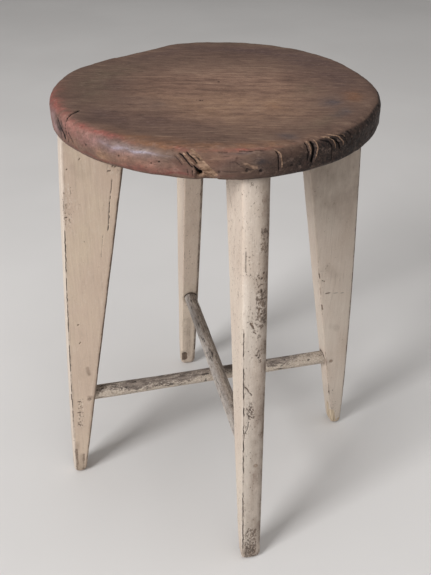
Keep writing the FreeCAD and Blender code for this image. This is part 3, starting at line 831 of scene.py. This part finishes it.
LEG_MARKS = {"left": LEFT_MARKS, "right": RIGHT_MARKS, "front": FRONT_MARKS, "back": BACK_MARKS}

# The side of each leg's board that carries the marks on its cheek.
MARKED_CHEEK = {"left": 1, "right": -1, "front": -1, "back": 1}

CHEEK_COLUMNS, EDGE_COLUMNS, CORNER_COLUMNS = 78, 24, 9
FOOT_ROUND = 8.0


def leg_section(leg, level, shrink):
    """One ring round a leg: a rounded rectangle at this height, taken in by shrink at the foot."""
    low, high = inner_edge(leg, level) + shrink, outer_edge(leg, level) - shrink
    side = half_thickness(level) - 1.5 * shrink
    signs = [(1, 1), (-1, 1), (-1, -1), (1, -1)]
    counts = [EDGE_COLUMNS, CHEEK_COLUMNS, EDGE_COLUMNS, CHEEK_COLUMNS]
    arcs = []
    for turned, ((out, across), stops) in enumerate(zip(signs, CORNERS[leg])):
        radius = float(np.interp(level, *zip(*stops)))
        radius = max(min(radius, (high - low) / 2 - 0.3, side - 0.3), 0.4)
        depth = radius * CORNER_DEPTH[leg] if out > 0 else radius
        centre = np.array([high - depth if out > 0 else low + depth, across * (side - radius)])
        angles = np.radians(90 * turned + np.linspace(0, 90, CORNER_COLUMNS))
        arcs.append(centre + np.stack([depth * np.cos(angles), radius * np.sin(angles)], -1))
    ring = []
    for k, count in enumerate(counts):
        before = arcs[k - 1][-1]
        shares = np.arange(1, count + 1)[:, None] / (count + 1)
        ring.append(before + (arcs[k][0] - before) * shares)
        ring.append(arcs[k])
    ring = np.vstack(ring)
    return np.column_stack([ring, np.full(len(ring), level)])


def leg_rings(leg):
    """Rings from the middle of the foot, round its edge and up to the seat."""
    most = 0.65 * FOOT_ROUND
    rings = [leg_section(leg, 0.0, most + extra) for extra in (0.9, 0.45)]
    for turned in np.radians(np.linspace(5, 90, 11)):
        rings.append(leg_section(leg, FOOT_ROUND * (1 - math.cos(turned)), most * (1 - math.sin(turned))))
    for level in np.append(np.arange(FOOT_ROUND + 0.8, SHOULDER - 1, 1.25), SHOULDER):
        rings.append(leg_section(leg, level, 0.0))
    return np.array(rings)


def mark_path(leg, surface, stops, points):
    """The points of a leg's skin nearest to a mark's stops.

    Each stop is a height and a distance: out from the inner edge on a cheek, in from the outer
    edge on an arris, and across from the board's middle on the outer or inner edge."""
    path = []
    for level, away in stops:
        inner, outer = inner_edge(leg, level), outer_edge(leg, level)
        cheek = MARKED_CHEEK[leg] * half_thickness(level)
        stop = {
            "cheek": (inner + away, cheek, level),
            "arris": (outer - away, cheek, level),
            "outer": (outer, away, level),
            "inner": (inner, away, level),
        }[surface]
        path.append(points[np.argmin(((points - stop) ** 2).sum(1))])
    return np.array(path)


def strongest(leg, kind, points, soft=1.5, sharp=0.4):
    """The strongest of a leg's soft marks of one kind at each point."""
    result = np.zeros(len(points))
    for radius, strength, surface, *stops in LEG_MARKS[leg].get(kind, []):
        away, _ = distance_to_path(points, mark_path(leg, surface, stops, points))
        result = np.maximum(result, strength * smooth_step(radius * soft, radius * sharp, away))
    return result


def nail_place(leg):
    level = BAR_LEVELS[leg]
    if leg in ("left", "right"):
        cheek = MARKED_CHEEK[leg] * half_thickness(level)
        return np.array([inner_edge(leg, level) + NAIL_INSET, cheek, level])
    return np.array([outer_edge(leg, level), NAIL_OFFSET, level])


def leg_wear(leg, points, wood, seed):
    """How far a leg's skin stands out from the plain board, and how chipped its arrises are."""
    level = points[:, 2]
    low, high, side = inner_edge(leg, level), outer_edge(leg, level), half_thickness(level)
    from_corner = np.hypot(
        np.minimum(points[:, 0] - low, high - points[:, 0]), side - np.abs(points[:, 1]))
    free = smooth_step(0, 6, level) * smooth_step(SHOULDER, SHOULDER - 6, level)
    push = free * 0.45 * noise(wood, (60, 60, 150), seed)
    push += free * 0.14 * noise(wood, (12, 12, 36), seed + 5)
    push += free * 0.05 * noise(wood, (3, 3, 12), seed + 9)
    # Feet are scuffed out of true.
    push -= smooth_step(40, 4, level) * (0.5 + 0.5 * noise(wood, (7, 7, 9), seed + 3)) * 0.8 * free
    # Arrises are nibbled away here and there, most of all low down.
    near_arris = smooth_step(3.6, 0.8, from_corner)
    low_down = smooth_step(150, 10, level)
    nibble = smooth_step(0.55, 0.85, noise(wood, (4, 4, 8), seed + 13) + 0.3 * low_down)
    push -= 0.35 * near_arris * nibble * (0.5 + low_down)
    return push, 0.8 * near_arris * nibble * (0.3 + 0.7 * low_down)


def cut_leg(leg, points, wood, seed, push, chip):
    """Cuts cracks and chips into push, a leg's skin. Gives how dark the cracks are, and the chips."""
    dark = np.zeros(len(points))
    for width, depth, surface, *stops in LEG_MARKS[leg]["cracks"]:
        away, share = distance_to_path(points, mark_path(leg, surface, stops, points))
        ends = smooth_step(-0.01, 0.10, share) * smooth_step(1.01, 0.9, share)
        broken = smooth_step(-0.6, 0.0, noise(wood, (5, 5, 9), seed + 33, 2))
        cut = np.exp(-((away / width) ** 2)) * ends * (0.25 + 0.75 * broken)
        push -= depth * cut
        dark = np.maximum(dark, min(0.35 + depth, 1.0) * smooth_step(0.1, 0.7, cut))
    for radius, surface, *stops in LEG_MARKS[leg]["chips"]:
        away, _ = distance_to_path(points, mark_path(leg, surface, stops, points))
        flake = smooth_step(radius * 1.4, radius * 0.7, away)
        push -= 0.45 * flake
        chip = np.maximum(chip, flake)
    return dark, chip


def make_leg(leg, seed):
    rings = leg_rings(leg)
    normals = ring_normals(rings)
    centre = rings.mean(1, keepdims=True)
    normals *= np.sign(((rings - centre) * normals).sum(2).mean(1))[:, None, None]
    points = rings.reshape(-1, 3)
    level = points[:, 2]
    wood = points + seed * 37.0

    push, chip = leg_wear(leg, points, wood, seed)
    wobble = points + np.stack([noise(wood, 3.0, seed + k, 2) for k in (61, 62, 63)], -1) * 0.4
    dark, chip = cut_leg(leg, wobble, wood, seed, push, chip)
    bare = strongest(leg, "bare", wobble, 1.25, 0.7)
    stain_and_shade = strongest(leg, "stains_and_shade", wobble, 1.6, 0.3)
    speckled = np.maximum(SPECKLED[leg], strongest(leg, "speckled", wobble))
    worn = strongest(leg, "worn", wobble, 1.3, 0.5)
    popped = smooth_step(0.1, 0.5, noise(wood, 1.6, seed + 71, 2))
    push -= 0.25 * bare + 0.18 * worn + 0.10 * speckled * popped

    # A dimple round the nail, so that its head shows.
    away = np.linalg.norm(points - nail_place(leg), axis=1)
    push = push * (1 - smooth_step(6, 3, away)) - 0.6 * smooth_step(3.0, 1.9, away)
    stain_and_shade = np.maximum(stain_and_shade, 0.35 * smooth_step(3.4, 2.0, away))

    # Painted shade darkens the top of the leg under the seat and a ring where the stretcher goes in,
    # with a painted shadow over the top of the stretcher; dirt gathers at the foot.
    bar_level = BAR_LEVELS[leg]
    from_bar = np.linalg.norm(points - [inner_edge(leg, bar_level), 0, bar_level], axis=1)
    painted_shadow_over_bar = smooth_step(10.6, 9.0, from_bar) * smooth_step(-3, 5, level - bar_level)
    grime_and_shade = 0.30 * smooth_step(SHOULDER - 20, SHOULDER, level) + 0.35 * smooth_step(30, 2, level)
    grime_and_shade = np.clip(grime_and_shade + stain_and_shade + 0.8 * smooth_step(13, 8.5, from_bar), 0, 1)

    on_outer_edge = smooth_step(4, 1, outer_edge(leg, level) - points[:, 0])
    values = {
        "chip": chip,
        "dark": np.maximum(dark, 0.8 * painted_shadow_over_bar),
        "bare": bare,
        "grime_and_shade": grime_and_shade,
        "speckled": speckled,
        "worn": worn,
        "yellowed": YELLOWED[leg] * (1 - 0.75 * on_outer_edge),
    }
    rings = (points + normals.reshape(-1, 3) * push[:, None]).reshape(rings.shape)
    placed = rings @ leg_turn(leg).T + MIDDLE
    made = skin(f"leg_{leg}_worn", placed, placed[0].mean(0), placed[-1].mean(0), values,
                wood.reshape(rings.shape))
    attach(made, "root")
    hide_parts(f"leg_{leg}")
    return made


# ---------------------------------------------------------------- stretchers

# The legs that each stretcher joins, its diameter, how much paint its ends keep and how strongly
# the side that faces the window is painted lighter, as painted light.
BARS = {
    "side_to_side": ("left", "right", 16.4, 1.0, 0.0),
    "front_to_back": ("front", "back", 15.6, 0.1, 0.5),
}
BAR_LET_IN = 9.0
BAR_COLUMNS, BAR_ROW_SPACING = 64, 0.85


def bar_end(leg):
    level = BAR_LEVELS[leg]
    reach = inner_edge(leg, level) + BAR_LET_IN
    return leg_turn(leg) @ np.array([reach, 0, level]) + MIDDLE


def make_bar(name, seed):
    first, second, diameter, end_paint, painted_light_strength = BARS[name]
    start, end = bar_end(first), bar_end(second)
    length = np.linalg.norm(end - start)
    ahead = (end - start) / length
    side = np.cross([0, 0, 1.0], ahead)
    side /= np.linalg.norm(side)
    above = np.cross(ahead, side)
    runs = np.append(np.arange(0, length - 0.4, BAR_ROW_SPACING), length)
    turns = np.linspace(0, 2 * math.pi, BAR_COLUMNS, endpoint=False)
    run, turn = np.meshgrid(runs, turns, indexing="ij")
    wood = np.stack([diameter / 2 * np.cos(turn), diameter / 2 * np.sin(turn), run], -1).reshape(-1, 3)
    wood = wood + seed * 29.0
    share = (run / length).ravel()
    up = np.sin(turn).ravel()
    free = smooth_step(0.02, 0.05, share) * smooth_step(0.98, 0.95, share)
    radius = np.full(len(wood), diameter / 2)
    # Feet have rubbed the top of the bar flatter, most of all between its middle and its ends.
    rubbed = np.sin(share * 2 * math.pi) ** 2 * free
    radius -= (0.3 + 0.8 * rubbed) * smooth_step(0.45, 1.0, up)
    lumps = noise(wood, (3.2, 3.2, 6), seed + 6, 3)
    radius += free * (0.3 * noise(wood, (16, 16, 60), seed) + 0.10 * noise(wood, (5, 5, 12), seed + 4))
    radius += free * 0.06 * lumps
    # Splits and knots open along the bar.
    splits = smooth_step(0.60, 0.90, noise(wood, (1.8, 1.8, 14), seed + 8, 2)) * free
    knots = smooth_step(0.70, 0.95, noise(wood, (4, 4, 6), seed + 15, 2)) * free
    radius -= 0.35 * splits + 0.25 * knots
    around = (radius * np.cos(turn).ravel()).reshape(run.shape)[..., None] * side
    around = around + (radius * np.sin(turn).ravel()).reshape(run.shape)[..., None] * above
    rings = start + run[..., None] * ahead + around
    # Paint is left near the ends, where nothing rubs.
    ends = end_paint * np.maximum(smooth_step(0.20, 0.08, share), smooth_step(0.74, 0.92, share))
    # Painted light: the side that faces the window is marked to be painted lighter.
    to_window = np.cos(turn).ravel() * (side @ [-1, 0, 0])
    values = {
        "up": up,
        "dark": np.maximum(0.8 * splits, 0.8 * knots),
        "ends": ends,
        "rubbed": rubbed * smooth_step(0.2, 0.9, up),
        "painted_lit_side": painted_light_strength * smooth_step(-0.1, 0.8, to_window),
    }
    made = skin(f"stretcher_{name}_worn", rings, start, end, values, wood)
    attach(made, "root")
    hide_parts(f"stretcher_{name}")
    return made


# ---------------------------------------------------------------- materials


class Shader:
    """A material being made: a Principled shader and short ways to add nodes to it."""

    def __init__(self, name):
        self.material = bpy.data.materials.new(name)
        self.material.use_nodes = True
        self.tree = self.material.node_tree
        self.tree.nodes.clear()
        self.surface = self.tree.nodes.new("ShaderNodeBsdfPrincipled")
        output = self.tree.nodes.new("ShaderNodeOutputMaterial")
        self.tree.links.new(self.surface.outputs[0], output.inputs[0])

    def give(self, socket, value):
        if isinstance(value, bpy.types.NodeSocket):
            self.tree.links.new(value, socket)
        else:
            socket.default_value = value

    def node(self, kind, inputs, output=0, **settings):
        made = self.tree.nodes.new(kind)
        for key, value in settings.items():
            setattr(made, key, value)
        for key, value in inputs.items():
            self.give(made.inputs[key], value)
        return made.outputs[output]

    def attribute(self, name, output="Fac"):
        made = self.tree.nodes.new("ShaderNodeAttribute")
        made.attribute_name = name
        return made.outputs[output]

    def placed(self, vector, scale, shift):
        return self.node("ShaderNodeMapping", {"Vector": vector, "Scale": scale, "Location": shift})

    def noise(self, vector, scale, detail=3.0, roughness=0.5, shift=(0, 0, 0)):
        """Cloudy noise, with scale as the number of features a metre along each axis."""
        placed = self.placed(vector, scale, shift)
        inputs = {"Vector": placed, "Scale": 1.0, "Detail": detail, "Roughness": roughness}
        return self.node("ShaderNodeTexNoise", inputs)

    def math(self, operation, first, second=0.0, clamp=False):
        return self.node("ShaderNodeMath", {0: first, 1: second}, operation=operation, use_clamp=clamp)

    def sum(self, *terms):
        """The sum of values, each given as (value, factor)."""
        total = 0.0
        for value, factor in terms:
            inputs = {0: value, 1: factor, 2: total}
            total = self.node("ShaderNodeMath", inputs, operation="MULTIPLY_ADD")
        return total

    def span(self, value, low, high, to_low=0.0, to_high=1.0):
        """value spread smoothly from low..high to to_low..to_high, and held there outside."""
        inputs = {"Value": value, 1: low, 2: high, 3: to_low, 4: to_high}
        return self.node("ShaderNodeMapRange", inputs, interpolation_type="SMOOTHSTEP", clamp=True)

    def mix(self, share, first, second):
        inputs = {0: share, 6: first, 7: second}
        return self.node("ShaderNodeMix", inputs, output=2, data_type="RGBA")

    def lay(self, under, share, strength, colour):
        """A colour laid over another one, as far as share times strength."""
        return self.mix(self.math("MULTIPLY", share, strength), under, colour)

    def ramp(self, value, *stops):
        made = self.tree.nodes.new("ShaderNodeValToRGB")
        elements = made.color_ramp.elements
        while len(elements) < len(stops):
            elements.new(0.5)
        for element, (position, colour) in zip(elements, stops):
            element.position = position
            element.color = colour
        self.give(made.inputs[0], value)
        return made.outputs[0]

    def finish(self, colour, roughness, height, distance, specular=0.5, metallic=0.0):
        normal = self.node("ShaderNodeBump", {"Height": height, "Distance": distance, "Strength": 0.7})
        self.give(self.surface.inputs["Base Color"], colour)
        self.give(self.surface.inputs["Roughness"], roughness)
        self.give(self.surface.inputs["Normal"], normal)
        self.give(self.surface.inputs["Specular IOR Level"], specular)
        self.give(self.surface.inputs["Metallic"], metallic)
        return self.material


def rgb(red, green, blue):
    return (red, green, blue, 1.0)


def plain_seat_wood(s, grain, clouds):
    """The colour of the seat's wood, handled and dirty, before any paint."""
    # Growth rings: distance from a pith line that runs along the board, below it.
    drift = s.node("ShaderNodeVectorMath", {
        0: s.node("ShaderNodeTexNoise", {"Vector": grain, "Scale": 14.0, "Detail": 2.0}, output=1),
        1: (0.0, 0.012, 0.012),
        2: grain,
    }, operation="MULTIPLY_ADD")
    pith = s.placed(drift, (0.04, 1.0, 0.6), (0.0, 0.02, 0.045))
    rings = s.node("ShaderNodeTexWave", {
        "Vector": pith, "Scale": 66.0, "Distortion": 2.4, "Detail": 3.0, "Detail Scale": 1.5,
    }, output=1, wave_type="RINGS", rings_direction="X", wave_profile="SIN")
    tone = s.sum(
        (rings, 0.05), (clouds["streaks"], 0.17), (clouds["mottled"], 0.44), (clouds["bands"], 0.24),
        (clouds["broad"], 0.48), (clouds["fibres"], 0.16), (clouds["specks"], 0.16),
    )
    wood = s.ramp(
        tone,
        (0.66, rgb(0.080, 0.045, 0.035)), (0.78, rgb(0.145, 0.084, 0.062)), (0.86, rgb(0.205, 0.122, 0.089)),
        (0.95, rgb(0.270, 0.168, 0.120)), (1.00, rgb(0.340, 0.225, 0.160)),
    )
    # Handled smooth and lighter in the middle, darker with old dirt towards the rim.
    middle = s.placed(grain, (1.0, 1.1, 0.0), (-0.012, 0.022, 0.0))
    place = s.node("ShaderNodeVectorMath", {0: middle}, output=1, operation="LENGTH")
    edge_dirt = s.span(s.sum((place, 1.0), (clouds["broad"], 0.12)), 0.10, 0.205)
    wood = s.lay(wood, edge_dirt, 0.62, rgb(0.080, 0.050, 0.040))
    scratches = s.span(s.noise(grain, (40, 520, 400), 2.0, 0.5, (0.3, 0.1, 0.0)), 0.60, 0.70)
    return s.lay(wood, scratches, 0.28, rgb(0.36, 0.245, 0.17))


def tinted_seat_wood(s, wood, grain, clouds):
    """Old paint and dirt, a painted highlight and painted shade laid over the seat's wood, as its tint
    attributes say.
    """
    mottled, specks = clouds["mottled"], clouds["specks"]
    broken = s.sum((mottled, 0.55), (specks, 0.45))
    left = s.span(broken, 0.36, 0.60, 0.55, 1.25)
    share = s.math("MULTIPLY", s.attribute("tinted"), left, clamp=True)
    tint = s.mix(s.span(clouds["streaks"], 0.35, 0.65, 0.0, 0.20), s.attribute("tint", "Vector"), wood)
    wood = s.mix(share, wood, tint)
    scuffs = s.noise(grain, (150, 330, 300), 5.0, 0.7, (0.1, 0.3, 0.5))
    wood = s.lay(wood, share, s.span(scuffs, 0.50, 0.64, 0.0, 0.50), rgb(0.075, 0.042, 0.036))
    return s.lay(wood, share, s.span(scuffs, 0.46, 0.34, 0.0, 0.30), rgb(0.44, 0.30, 0.25))


def seat_material():
    s = Shader("old seat wood")
    grain = s.attribute("grain", "Vector")
    clouds = {
        "broad": s.noise(grain, (9, 20, 20), 4.0, 0.6),
        "mottled": s.noise(grain, (60, 130, 130), 5.0, 0.66),
        "streaks": s.noise(grain, (46, 460, 320), 4.0, 0.62),
        "bands": s.noise(grain, (5, 62, 50), 4.0, 0.6, (0.4, 0.7, 0.2)),
        "fibres": s.noise(grain, (70, 1500, 900), 3.0, 0.6),
        "specks": s.noise(grain, (500, 900, 900), 3.0, 0.7),
    }
    mottled, streaks = clouds["mottled"], clouds["streaks"]
    fibres, specks = clouds["fibres"], clouds["specks"]
    wood = plain_seat_wood(s, grain, clouds)
    wood = tinted_seat_wood(s, wood, grain, clouds)

    # Fresh wood shows where it is broken or rubbed bare, and nothing but dark down the cracks.
    fresh_tone = s.span(s.sum((fibres, 0.6), (mottled, 0.4)), 0.38, 0.62)
    fresh = s.mix(fresh_tone, rgb(0.15, 0.085, 0.052), rgb(0.41, 0.270, 0.190))
    bare = s.span(s.sum((s.attribute("bare"), 1.0), (specks, 0.5)), 0.50, 0.92)
    wood = s.mix(bare, wood, fresh)
    dark = s.span(s.sum((s.attribute("dark"), 1.0), (specks, 0.3)), 0.34, 0.85)
    wood = s.mix(dark, wood, rgb(0.008, 0.006, 0.006))
    pores = s.span(s.noise(grain, (80, 900, 900), 2.0, 0.5, (0.7, 0.2, 0.0)), 0.62, 0.70)
    wood = s.lay(wood, pores, 0.45, rgb(0.035, 0.022, 0.018))

    gloss = s.attribute("gloss")
    rough = s.sum((s.span(mottled, 0.3, 0.7, 0.50, 0.66), 1.0), (gloss, -0.20))
    rough = s.math("ADD", rough, s.math("MULTIPLY", s.math("MAXIMUM", bare, dark), 0.3), clamp=True)
    shine = s.node("ShaderNodeMath", {0: gloss, 1: 0.60, 2: 0.20}, operation="MULTIPLY_ADD")
    height = s.sum((streaks, 0.6), (fibres, 0.2), (specks, 0.35), (pores, -0.25), (mottled, 0.4))
    return s.finish(wood, rough, height, 0.0009, shine)


def paint_material():
    s = Shader("old cream paint")
    grain = s.attribute("grain", "Vector")
    brushed = s.noise(grain, (420, 420, 14), 3.0, 0.55)
    broad = s.noise(grain, (16, 16, 9), 4.0, 0.6)
    medium = s.noise(grain, (90, 90, 50), 4.0, 0.6)
    fine = s.noise(grain, (520, 520, 380), 4.0, 0.65)
    cool = s.ramp(
        broad,
        (0.32, rgb(0.585, 0.490, 0.410)), (0.48, rgb(0.635, 0.550, 0.475)), (0.64, rgb(0.665, 0.590, 0.515)),
    )
    warm = s.ramp(
        broad,
        (0.32, rgb(0.580, 0.445, 0.345)), (0.48, rgb(0.630, 0.490, 0.385)), (0.64, rgb(0.655, 0.525, 0.400)),
    )
    paint = s.mix(s.attribute("yellowed"), cool, warm)
    paint = s.mix(s.span(brushed, 0.40, 0.70, 0.0, 0.14), paint, rgb(0.42, 0.33, 0.26))
    paint = s.mix(s.span(medium, 0.56, 0.76, 0.0, 0.22), paint, rgb(0.40, 0.31, 0.24))
    paint = s.mix(s.span(medium, 0.44, 0.26, 0.0, 0.25), paint, rgb(0.74, 0.65, 0.56))
    hairs = s.span(s.noise(grain, (760, 760, 36), 3.0, 0.6, (0.2, 0.5, 0.1)), 0.58, 0.70)
    speckled = s.attribute("speckled")
    # Dark hairlines and pale flecks all over, more of them where the paint is speckled.
    weather = s.node("ShaderNodeMath", {0: speckled, 1: 0.45, 2: 0.14}, operation="MULTIPLY_ADD")
    paint = s.lay(paint, hairs, weather, rgb(0.22, 0.165, 0.125))
    paint = s.lay(paint, s.span(fine, 0.46, 0.34), weather, rgb(0.80, 0.73, 0.65))

    # Dirt and painted shade darken the paint, and brown wood shows where the paint has flaked, popped off in
    # specks or worn through.
    grime_and_shade = s.math("MULTIPLY", s.attribute("grime_and_shade"), s.span(medium, 0.3, 0.7, 0.55, 1.3), clamp=True)
    paint = s.lay(paint, grime_and_shade, 0.60, rgb(0.160, 0.098, 0.066))
    popped = s.span(s.sum((fine, 1.0), (medium, 0.25), (speckled, 0.20)), 0.835, 0.880)
    flaked = s.span(s.sum((s.attribute("chip"), 1.0), (fine, 0.7)), 0.78, 0.92)
    worn = s.span(s.sum((s.attribute("worn"), 0.55), (medium, 0.6), (fine, 0.35)), 0.66, 0.96)
    wood = s.mix(s.span(brushed, 0.4, 0.65), rgb(0.060, 0.040, 0.030), rgb(0.150, 0.100, 0.070))
    paint = s.lay(paint, worn, 0.75, wood)
    paint = s.lay(paint, popped, 0.72, wood)
    paint = s.lay(paint, flaked, 0.88, wood)
    bare = s.span(s.sum((s.attribute("bare"), 1.0), (fine, 0.8)), 0.80, 1.00)
    bare_wood = s.mix(s.span(brushed, 0.35, 0.65), rgb(0.42, 0.31, 0.20), rgb(0.68, 0.56, 0.40))
    paint = s.lay(paint, bare, 0.85, bare_wood)
    # Cracks are dark, and so is the painted shadow over the top of each stretcher.
    dark = s.span(s.attribute("dark"), 0.15, 0.8)
    paint = s.lay(paint, dark, 0.9, rgb(0.030, 0.021, 0.016))

    lost = s.math("MAXIMUM", s.math("MAXIMUM", popped, flaked), s.math("MAXIMUM", worn, bare))
    rough = s.math("ADD", s.span(broad, 0.3, 0.7, 0.48, 0.62), s.math("MULTIPLY", lost, 0.2), clamp=True)
    height = s.sum((brushed, 0.35), (medium, 0.5), (lost, -0.5))
    return s.finish(paint, rough, height, 0.0006, 0.35)


def stretcher_material(name, paint_left, worn_colour, pale_colour):
    s = Shader(name)
    grain = s.attribute("grain", "Vector")
    fibres = s.noise(grain, (520, 520, 50), 4.0, 0.62)
    mottled = s.noise(grain, (230, 230, 100), 5.0, 0.7)
    broad = s.noise(grain, (60, 60, 22), 4.0, 0.6)
    fine = s.noise(grain, (700, 700, 480), 3.0, 0.7)
    tone = s.sum((fibres, 0.35), (mottled, 0.45), (fine, 0.20))
    wood = s.ramp(tone, (0.37, rgb(0.050, 0.040, 0.035)), (0.49, worn_colour), (0.62, pale_colour))
    up, ends = s.attribute("up"), s.attribute("ends")
    # Paint is held best near the ends and least on top, where feet rub.
    held = s.sum((mottled, 0.70), (broad, 0.45), (fine, 0.55), (up, -0.16), (ends, 0.13),
                 (s.attribute("rubbed"), -0.06))
    left = s.span(held, 0.92 - paint_left, 1.02 - paint_left)
    paint = s.mix(s.span(fine, 0.35, 0.65), rgb(0.47, 0.38, 0.30), rgb(0.72, 0.63, 0.53))
    wood = s.lay(wood, left, 0.75, paint)
    # Painted light: the side that faces the window is laid over with pale grey.
    painted_light_tone = s.span(mottled, 0.35, 0.60, 0.45, 0.95)
    wood = s.lay(wood, s.attribute("painted_lit_side"), painted_light_tone, rgb(0.400, 0.395, 0.400))
    soot = s.span(s.sum((up, 1.0), (mottled, 1.2)), 0.75, 1.45)
    wood = s.lay(wood, soot, 0.24, rgb(0.105, 0.084, 0.072))
    flecks = s.span(fine, 0.63, 0.70)
    wood = s.lay(wood, flecks, 0.6, rgb(0.70, 0.66, 0.62))
    dark = s.span(s.sum((s.attribute("dark"), 1.0), (fine, 0.3)), 0.35, 0.95)
    wood = s.lay(wood, dark, 0.8, rgb(0.018, 0.014, 0.012))
    height = s.sum((fibres, 0.6), (mottled, 0.5), (left, 0.35))
    return s.finish(wood, s.span(broad, 0.3, 0.7, 0.50, 0.68), height, 0.0004, 0.4)


def iron_material():
    s = Shader("rusted iron")
    place = s.node("ShaderNodeTexCoord", {}, output=3)
    rust = s.noise(place, (900, 900, 900), 4.0, 0.6)
    colour = s.ramp(rust, (0.35, rgb(0.240, 0.180, 0.140)), (0.6, rgb(0.440, 0.345, 0.270)))
    return s.finish(colour, s.span(rust, 0.3, 0.7, 0.55, 0.85), rust, 0.0003, 0.5, 0.2)


# ---------------------------------------------------------------- camera, floor and light


CAMERA_PLACE = Vector((-0.1852, -0.7163, 0.7134))
CAMERA_TARGET = Vector((0.0041, 0.0069, 0.235))
CAMERA_ROLL = 0.61
CAMERA_LENS, SENSOR_WIDTH = 48.93, 36.0
FLOOR_REACH = 9.0
LIGHT_TARGET = Vector((0.0, 0.0, 0.25))
ROOM_COLOUR, ROOM_LIGHT = (1.0, 0.975, 0.95, 1.0), 0.17


def turned_to(place, target):
    return (target - place).to_track_quat("-Z", "Y")


def make_camera():
    data = bpy.data.cameras.new("camera")
    data.lens = CAMERA_LENS
    data.sensor_width = SENSOR_WIDTH
    data.clip_end = 50.0
    camera = add_object("camera", data)
    camera.location = CAMERA_PLACE
    camera.rotation_mode = "QUATERNION"
    roll = Matrix.Rotation(math.radians(CAMERA_ROLL), 4, "Z").to_quaternion()
    camera.rotation_quaternion = turned_to(CAMERA_PLACE, CAMERA_TARGET) @ roll
    bpy.context.scene.camera = camera


def make_floor():
    s = Shader("pale floor")
    place = s.node("ShaderNodeTexCoord", {}, output=3)
    cloud = s.noise(place, (2.5, 2.5, 2.5), 3.0, 0.5)
    colour = s.mix(s.span(cloud, 0.35, 0.65), rgb(0.69, 0.675, 0.665), rgb(0.72, 0.705, 0.695))
    s.finish(colour, 0.7, cloud, 0.0005, 0.2)
    corners = [(x * FLOOR_REACH, y * FLOOR_REACH, 0) for x, y in ((-1, -1), (1, -1), (1, 1), (-1, 1))]
    mesh = bpy.data.meshes.new("floor")
    mesh.from_pydata(corners, [], [(0, 1, 2, 3)])
    mesh.materials.append(s.material)
    floor = add_object("floor", mesh)


def area_light(name, place, size, power, colour):
    """A rectangular light that faces the stool."""
    data = bpy.data.lights.new(name, "AREA")
    data.shape = "RECTANGLE"
    data.size, data.size_y = size
    data.energy = power
    data.color = colour
    lamp = add_object(name, data)
    lamp.location = place
    lamp.rotation_mode = "QUATERNION"
    lamp.rotation_quaternion = turned_to(Vector(place), LIGHT_TARGET)


def light_the_stage():
    world = bpy.data.worlds.new("soft room")
    bpy.context.scene.world = world
    world.use_nodes = True
    background = world.node_tree.nodes["Background"]
    background.inputs["Color"].default_value = ROOM_COLOUR
    background.inputs["Strength"].default_value = ROOM_LIGHT
    area_light("window", (-2.60, -1.50, 2.05), (1.15, 1.5), 104.0, (1.0, 1.0, 1.0))
    area_light("ceiling", (0.3, -0.3, 3.2), (3.0, 3.0), 46.0, (1.0, 0.99, 0.98))
    bpy.context.scene.view_settings.view_transform = "Standard"


# ---------------------------------------------------------------- the stool

make_camera()
make_floor()
light_the_stage()

make_seat().data.materials.append(seat_material())
paint = paint_material()
for seed, leg in enumerate(LEG_ANGLES, start=1):
    make_leg(leg, seed * 100).data.materials.append(paint)
lower_wood = stretcher_material(
    "worn lower stretcher", 0.20, rgb(0.235, 0.190, 0.160), rgb(0.50, 0.425, 0.36))
make_bar("side_to_side", 11).data.materials.append(lower_wood)
upper_wood = stretcher_material(
    "worn upper stretcher", 0.09, rgb(0.375, 0.300, 0.245), rgb(0.66, 0.57, 0.48))
make_bar("front_to_back", 23).data.materials.append(upper_wood)
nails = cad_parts["stretcher_nails"]
iron = iron_material()
for slot in nails.material_slots:
    slot.link = "OBJECT"
    slot.material = iron
